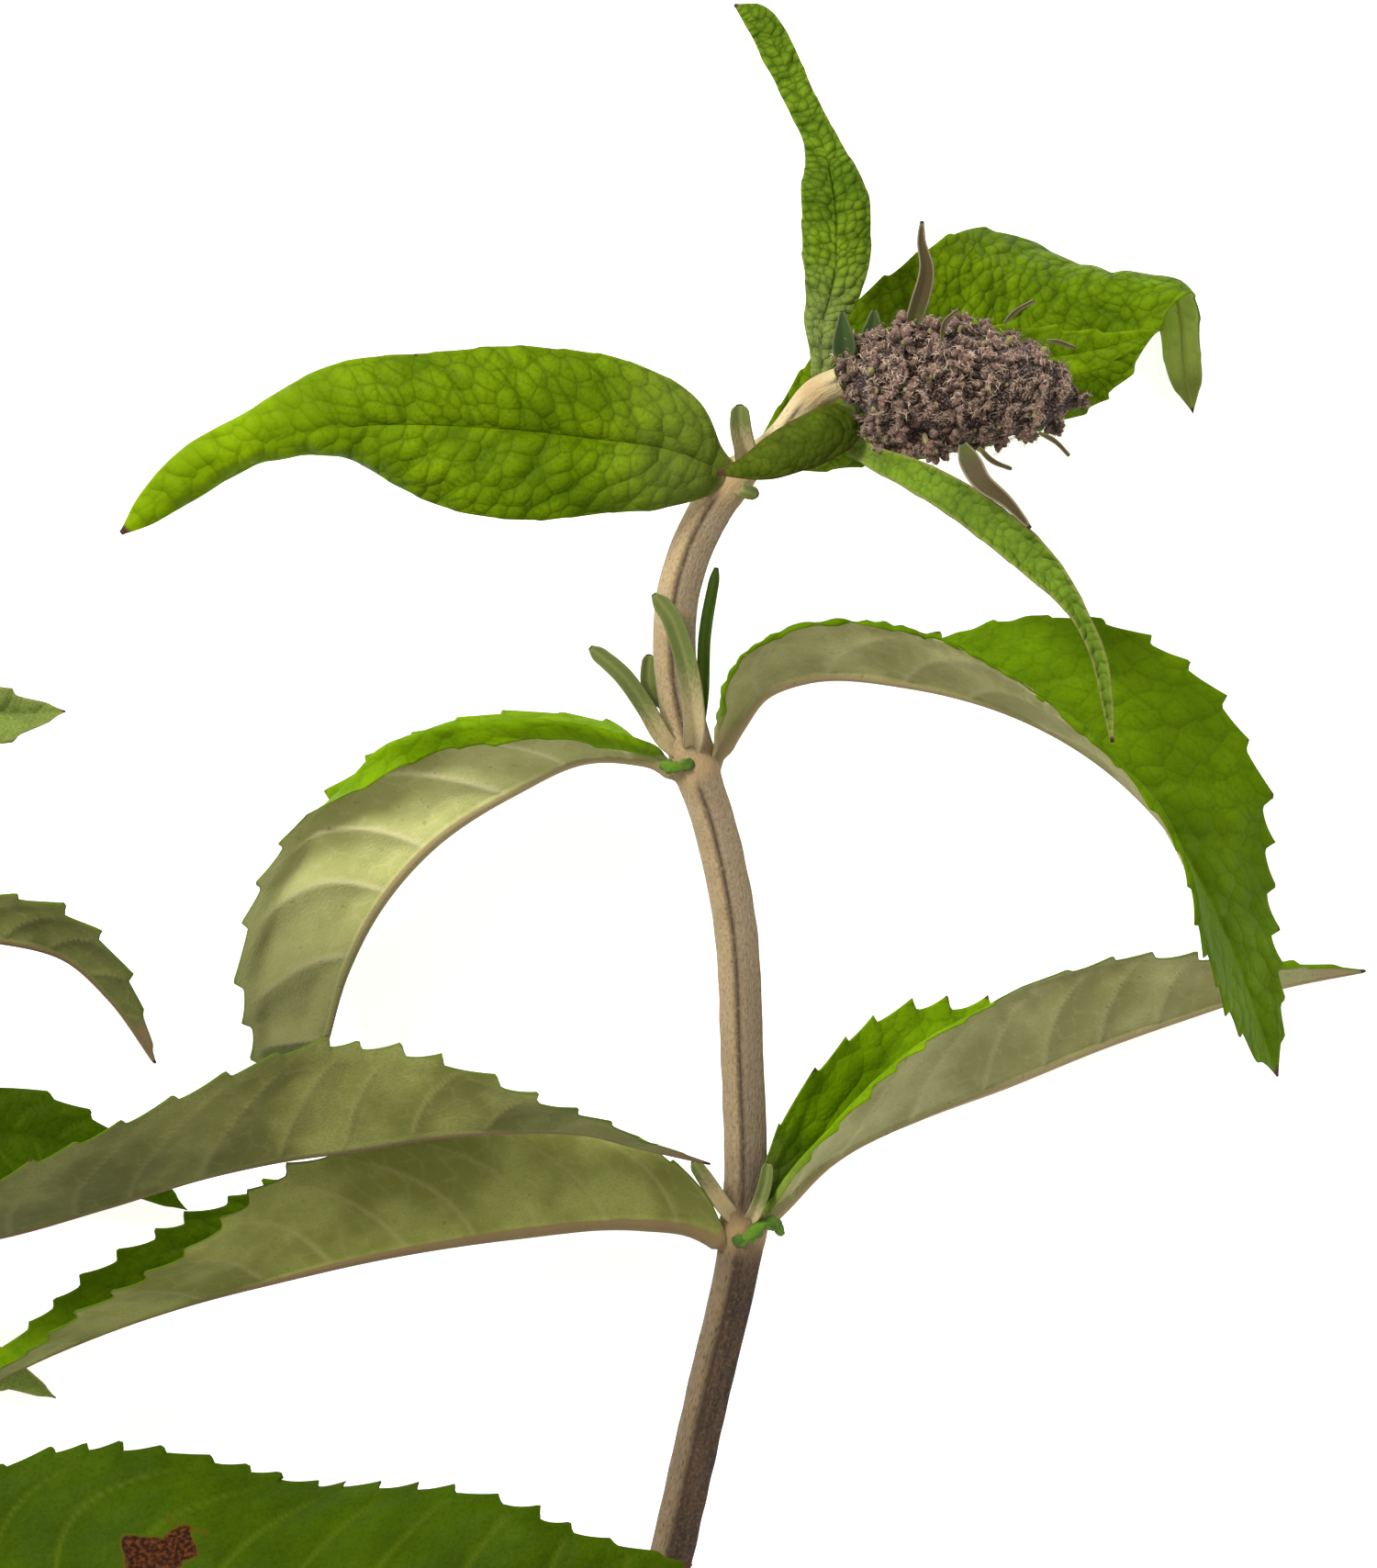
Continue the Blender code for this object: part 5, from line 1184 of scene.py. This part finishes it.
def add_stems(finish):
    """The main stem and the side shoot; an age below 0 is the flower head's cream stalk."""
    bark = finish["bark"]
    third, second, first = (nearest_share(MAIN_AXIS, MAIN_NODES[node]) for node in (1, 2, 3))
    knots = [0, third, third + 0.05, second - 0.1, second, first - 0.01, first + 0.02, 1]
    ages = [1.0, 0.95, 0.4, 0.12, 0.08, 0.0, -1.0, -1.0]
    add_stem("main_stem", MAIN_AXIS, CUT_INSET, 1.0, main_radii, MAIN_NODES, bark,
             lambda shares: np.interp(shares, knots, ages), True)
    add_stem("side_stem_low", SIDE_AXIS, 0.0, SIDE_SPLIT, side_radii, SIDE_NODES, bark,
             lambda shares: np.full(len(shares), 0.9), False)
    add_stem("side_stem_high", SIDE_AXIS, SIDE_SPLIT, 1.0, side_radii, SIDE_NODES, bark,
             lambda shares: 0.9 - 0.8 * shares, False)


def head_radius(share):
    """The flower head's radius along its axis."""
    return HEAD_RADIUS * curve(HEAD_SHARES, HEAD_OUTLINE, share)


def ball():
    """The corners and faces of a small round bud of unit size."""
    work = bmesh.new()
    bmesh.ops.create_icosphere(work, subdivisions=2, radius=1.0)
    corners = np.array([vertex.co for vertex in work.verts])
    faces = np.array([[vertex.index for vertex in face.verts] for face in work.faces])
    work.free()
    return corners, faces


def side_ways(ways):
    """Two directions square to each given direction."""
    guide = np.where(np.abs(ways[:, 2:3]) < 0.8, (0.0, 0.0, 1.0), (1.0, 0.0, 0.0))
    first = unit(np.cross(guide, ways))
    return first, np.cross(ways, first)


class Pile:
    """Small meshes piled up into one piece: their points, tints and faces."""

    def __init__(self):
        self.points = []
        self.tints = []
        self.faces = []
        self.total = 0

    def add(self, points, tints, faces):
        """Add meshes whose faces count from their own first point."""
        self.points.append(points.reshape(-1, 3))
        self.tints.append(tints.reshape(-1, 3))
        self.faces += (faces + self.total).tolist()
        self.total += len(self.points[-1])


def cyme_places(draw):
    """Where each cyme of the flower head sits, which way it faces, and its size."""
    centres = []
    sizes = []
    outward = []
    _, length = path_knots(HEAD_AXIS)
    rows = int(length / CYME_SPACING)
    for row in range(rows + 1):
        share = np.array([0.03 + 0.96 * row / rows])
        centre, tangent, side, above = frames(HEAD_AXIS, share)
        reach = float(head_radius(share)[0]) - 1.0
        around = max(1, int(2 * math.pi * max(reach, 0) / CYME_SPACING))
        for place in range(around):
            turn = 2 * math.pi * (place + 0.5 * (row % 2) + draw.uniform(-0.15, 0.15)) / around
            offset = side[0] * math.cos(turn) + above[0] * math.sin(turn)
            centres.append(centre[0] + offset * max(reach + draw.uniform(-1.2, 0.4), 0.05))
            outward.append(offset + tangent[0] * (0.15 + 0.9 * share[0] ** 3))
            sizes.append(CYME_RADIUS * (1 - 0.35 * share[0]) * draw.uniform(0.8, 1.1))
    for centre, size in LOOSE_CYMES:
        centres.append(np.array(centre))
        outward.append(np.array((-0.4, 0.7 if centre[1] > HEAD_AXIS[2][1] else -0.7, 0.5)))
        sizes.append(size)
    return np.array(centres), unit(np.array(outward)), np.array(sizes)


def bud_places(draw, centres, outward, sizes):
    """The buds of every cyme, spread over its outer side: places, directions and sizes."""
    first, second = side_ways(outward)
    places = []
    ways = []
    widths = []
    for bud in range(BUDS_EACH):
        tilt = CYME_SPREAD * math.sqrt((bud + 0.4) / BUDS_EACH)
        turn = bud * GOLDEN_TURN + draw.uniform(0, 6.3, len(centres))
        lean = (first * (np.cos(turn) * math.sin(tilt))[:, None]
                + second * (np.sin(turn) * math.sin(tilt))[:, None] + outward * math.cos(tilt))
        lean = unit(lean + draw.normal(0, 0.12, lean.shape))
        places.append(centres + lean * (sizes * draw.uniform(0.52, 0.72, len(sizes)))[:, None])
        ways.append(lean)
        widths.append(sizes * draw.uniform(0.19, 0.27, len(sizes)))
    return np.concatenate(places), np.concatenate(ways), np.concatenate(widths)


def copies_of(faces, number, corners):
    """The faces of many copies of one small mesh, one after the other."""
    return (faces[None] + (np.arange(number) * corners)[:, None, None]).reshape(-1, faces.shape[1])


def pile_buds(pile, draw, places, ways, widths, outward):
    """Four-lobed buds that taper to their tips, with painted shade where they face inward."""
    corners, triangles = ball()
    height = corners[:, 2]
    upper = np.clip(height, 0, 1)
    taper = 1 - 0.3 * upper ** 2 - 0.25 * np.clip(-height, 0, 1)
    lobed = 1 + 0.14 * np.cos(4 * np.arctan2(corners[:, 1], corners[:, 0])) * upper
    one, two = side_ways(ways)
    flat = corners[:, :2] * (taper * lobed)[:, None]
    points = places[:, None, :] + (one[:, None, :] * flat[None, :, :1]
                                   + two[:, None, :] * flat[None, :, 1:]) * widths[:, None, None]
    points = points + ways[:, None, :] * (height[None, :] * widths[:, None] * 1.6)[:, :, None]
    facing = np.sum(ways * outward, axis=1)
    # Tone is random, plus painted shade on buds that face inward
    tone = np.clip(draw.uniform(0, 0.6, len(places)) + 0.5 * facing, 0, 1)
    tints = np.stack((np.broadcast_to((height * 0.5 + 0.5)[None, :], points.shape[:2]),
                      np.broadcast_to(tone[:, None], points.shape[:2]),
                      np.zeros(points.shape[:2])), axis=-1)
    pile.add(points, tints, copies_of(triangles, len(places), len(corners)))


def pile_core(pile):
    """The dark core that shows between the buds; its darkness is painted shade in the gaps."""
    rows = 40
    sides = 30
    shares = np.linspace(0.0, 1.0, rows)
    middle, _, left, up = frames(HEAD_AXIS, shares)
    angles = np.arange(sides) * 2 * math.pi / sides
    radius = np.maximum(head_radius(shares) - 1.6, 0.3)[:, None]
    radius = radius + 0.5 * ripple(angles[None, :] * 6, shares[:, None] * 33, 4.0, 17)
    core = ring_points(middle, left, up, radius, angles)
    # Tone 0 gives the darkest bud colour: painted shade between the buds
    pile.add(core, np.tile((0.5, 0.0, 0.0), (rows * sides, 1)), quads(rows, sides, closed=True))


def pile_hairs(pile, draw, places, ways, widths, outward):
    """Short curled hairs, each a narrow flat strand that starts on a bud."""
    chosen = draw.integers(0, len(places), HAIRS)
    away = outward[chosen]
    one, two = side_ways(away)
    turn = draw.uniform(0, 2 * math.pi, HAIRS)[:, None]
    way = unit(one * np.cos(turn) + two * np.sin(turn) + away * draw.uniform(-0.1, 0.7, (HAIRS, 1)))
    bow = unit(np.cross(away, way))
    root = places[chosen] + ways[chosen] * (widths[chosen] * draw.uniform(0.9, 1.5, HAIRS))[:, None]
    root = root + draw.normal(0, 0.2, (HAIRS, 3))
    reach = draw.uniform(0.5, 1.3, HAIRS)[:, None]
    strands = []
    for step, width in HAIR_STEPS:
        spot = root + way * reach * (step - 0.35 * step ** 2) + bow * reach * 0.7 * step ** 2
        spot = spot - away * reach * 0.25 * step ** 2
        strands += [spot - bow * width, spot + bow * width]
    strands = np.stack(strands, axis=1)
    corners_each = strands.shape[1]
    first_corner = np.arange(HAIRS)[:, None] * corners_each
    faces = [first_corner + np.array((low, low + 1, low + 3, low + 2))[None, :]
             for low in range(0, corners_each - 2, 2)]
    shade = np.repeat(draw.uniform(0, 1, HAIRS), corners_each)
    pile.add(strands, table(np.ones_like(shade), shade, np.ones_like(shade)), np.concatenate(faces))


def pile_young_buds(pile, draw, centres, outward):
    """One pale young bud, or the stalk under it, inside each cyme."""
    corners, triangles = ball()
    number = len(centres)
    bead = centres - outward * 0.6 + draw.normal(0, 0.6, (number, 3))
    points = bead[:, None, :] + corners[None, :, :] * draw.uniform(0.3, 0.6, number)[:, None, None]
    points = points + outward[:, None, :] * (corners[None, :, 2] * 0.9)[:, :, None]
    tints = np.tile((0.3, 0.5, 0.5), (number * len(corners), 1))
    pile.add(points, tints, copies_of(triangles, number, len(corners)))


def add_flower_head(finish):
    """Crowded cymes of small felted buds on a blunt spindle, with hairs over them."""
    draw = np.random.default_rng(5)
    centres, outward, sizes = cyme_places(draw)
    places, ways, widths = bud_places(draw, centres, outward, sizes)
    bud_outward = np.tile(outward, (BUDS_EACH, 1))
    pile = Pile()
    pile_buds(pile, draw, places, ways, widths, bud_outward)
    pile_core(pile)
    pile_hairs(pile, draw, places, ways, widths, bud_outward)
    pile_young_buds(pile, draw, centres, outward)
    points = np.concatenate(pile.points)
    layers = {"tints": np.concatenate(pile.tints), "blade": points, "marks": np.zeros_like(points)}
    write_piece("flower_head_fine", ["flower_head"], points, pile.faces,
                [finish["buds"]], np.zeros(len(pile.faces)), layers)


def add_bracts(finish):
    """The narrow bracts that stand out of the flower head."""
    bracts = (
        ("erect", 1.2, [(29.6, 60.6, 44), (31.2, 65, 46), (32.2, 69.6, 47), (31.5, 73.6, 47),
                         (31.6, 76.2, 46.6)]),
        ("hanging", 1.5, [(37, 46, 49), (38.2, 43, 54), (39.8, 40.4, 58), (42.8, 38, 59.6),
                           (46, 34.4, 60)]),
        ("foot_left", 1.6, [(21.2, 57, 42), (21, 60.5, 43.6), (20.8, 64, 44.4)]),
        ("foot_right", 1.7, [(24.6, 58, 39), (25, 61, 39), (25.2, 64.4, 39)]),
        ("upper", 0.2, [(42.6, 62.2, 47), (44.4, 64, 48.4), (46.8, 65.4, 48)]),
        ("middle", 0.2, [(34.2, 60, 48), (34.8, 62.6, 49.6), (36.6, 64.2, 49.6)]),
        ("tip", 0.22, [(48.4, 60, 45), (50, 59.8, 45.6), (52.4, 59, 45)]),
        ("low", 0.2, [(47.4, 47.6, 44.6), (49.6, 46.4, 45), (51.6, 44.4, 44.4)]),
        ("low_left", 0.26, [(39.2, 45.6, 46), (41, 43.8, 46.4), (43.8, 42.6, 45.6)]),
    )
    for number, (name, width, path) in enumerate(bracts):
        skin = "foot_bract" if name.startswith("foot") else "bract"
        piece = add_leaf(finish, "flower_head", skin, skin, path=path,
                         width=width, outline=BRACT_OUTLINE, teeth=0.0, left=(20, 25, 30),
                         right=(160, 155, 150), seed=FIRST_BRACT_SEED + number, rib=0.3,
                         relief=0.06, pillow=0.0, dark_tip=0.06, felted_share=0.3,
                         seat=SEAT_OF_BRACT)
        piece.name = "bract_" + name


def add_studio():
    """A plain pale floor, soft light from above and the camera that looks down on the branch."""
    floor_mesh = bpy.data.meshes.new("studio_floor")
    corners = [(-FLOOR_REACH, -FLOOR_REACH, 0), (FLOOR_REACH, -FLOOR_REACH, 0),
               (FLOOR_REACH, FLOOR_REACH, 0), (-FLOOR_REACH, FLOOR_REACH, 0)]
    floor_mesh.from_pydata(corners, [], [(0, 1, 2, 3)])
    floor = bpy.data.objects.new("studio_floor", floor_mesh)
    bpy.context.scene.collection.objects.link(floor)
    paper = bpy.data.materials.new("studio_paper")
    paper.use_nodes = True
    shader = paper.node_tree.nodes["Principled BSDF"]
    shader.inputs["Base Color"].default_value = (FLOOR_SHADE, FLOOR_SHADE, FLOOR_SHADE, 1)
    shader.inputs["Roughness"].default_value = 0.9
    shader.inputs["Emission Color"].default_value = (1, 1, 1, 1)
    shader.inputs["Emission Strength"].default_value = FLOOR_GLOW
    floor_mesh.materials.append(paper)

    world = bpy.data.worlds.new("studio")
    world.use_nodes = True
    world.node_tree.nodes["Background"].inputs["Color"].default_value = (1, 1, 1, 1)
    world.node_tree.nodes["Background"].inputs["Strength"].default_value = SKY_STRENGTH
    bpy.context.scene.world = world
    for name, place, size, power in LAMPS:
        data = bpy.data.lights.new(name, "AREA")
        data.size = size
        data.energy = power
        lamp = bpy.data.objects.new(name, data)
        lamp.location = place
        lamp.rotation_euler = (-Vector(place)).to_track_quat("-Z", "Y").to_euler()
        bpy.context.scene.collection.objects.link(lamp)

    data = bpy.data.cameras.new("camera")
    data.sensor_width = SENSOR
    data.lens = SENSOR * CAMERA_DISTANCE / PHOTO_HEIGHT_MM
    data.clip_end = 5 * FLOOR_REACH
    camera = bpy.data.objects.new("camera", data)
    camera.location = (np.array((0, 0, FOCUS_HEIGHT + CAMERA_DISTANCE)) + SHIFT) * METRES
    bpy.context.scene.collection.objects.link(camera)
    bpy.context.scene.camera = camera
    bpy.context.scene.view_settings.view_transform = "Standard"


def main():
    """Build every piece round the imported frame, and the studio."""
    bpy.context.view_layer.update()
    finish = make_finishes()
    add_stems(finish)
    add_main_leaves(finish)
    add_side_leaves(finish)
    add_small_shoots(finish)
    add_flower_head(finish)
    add_bracts(finish)
    add_studio()


main()
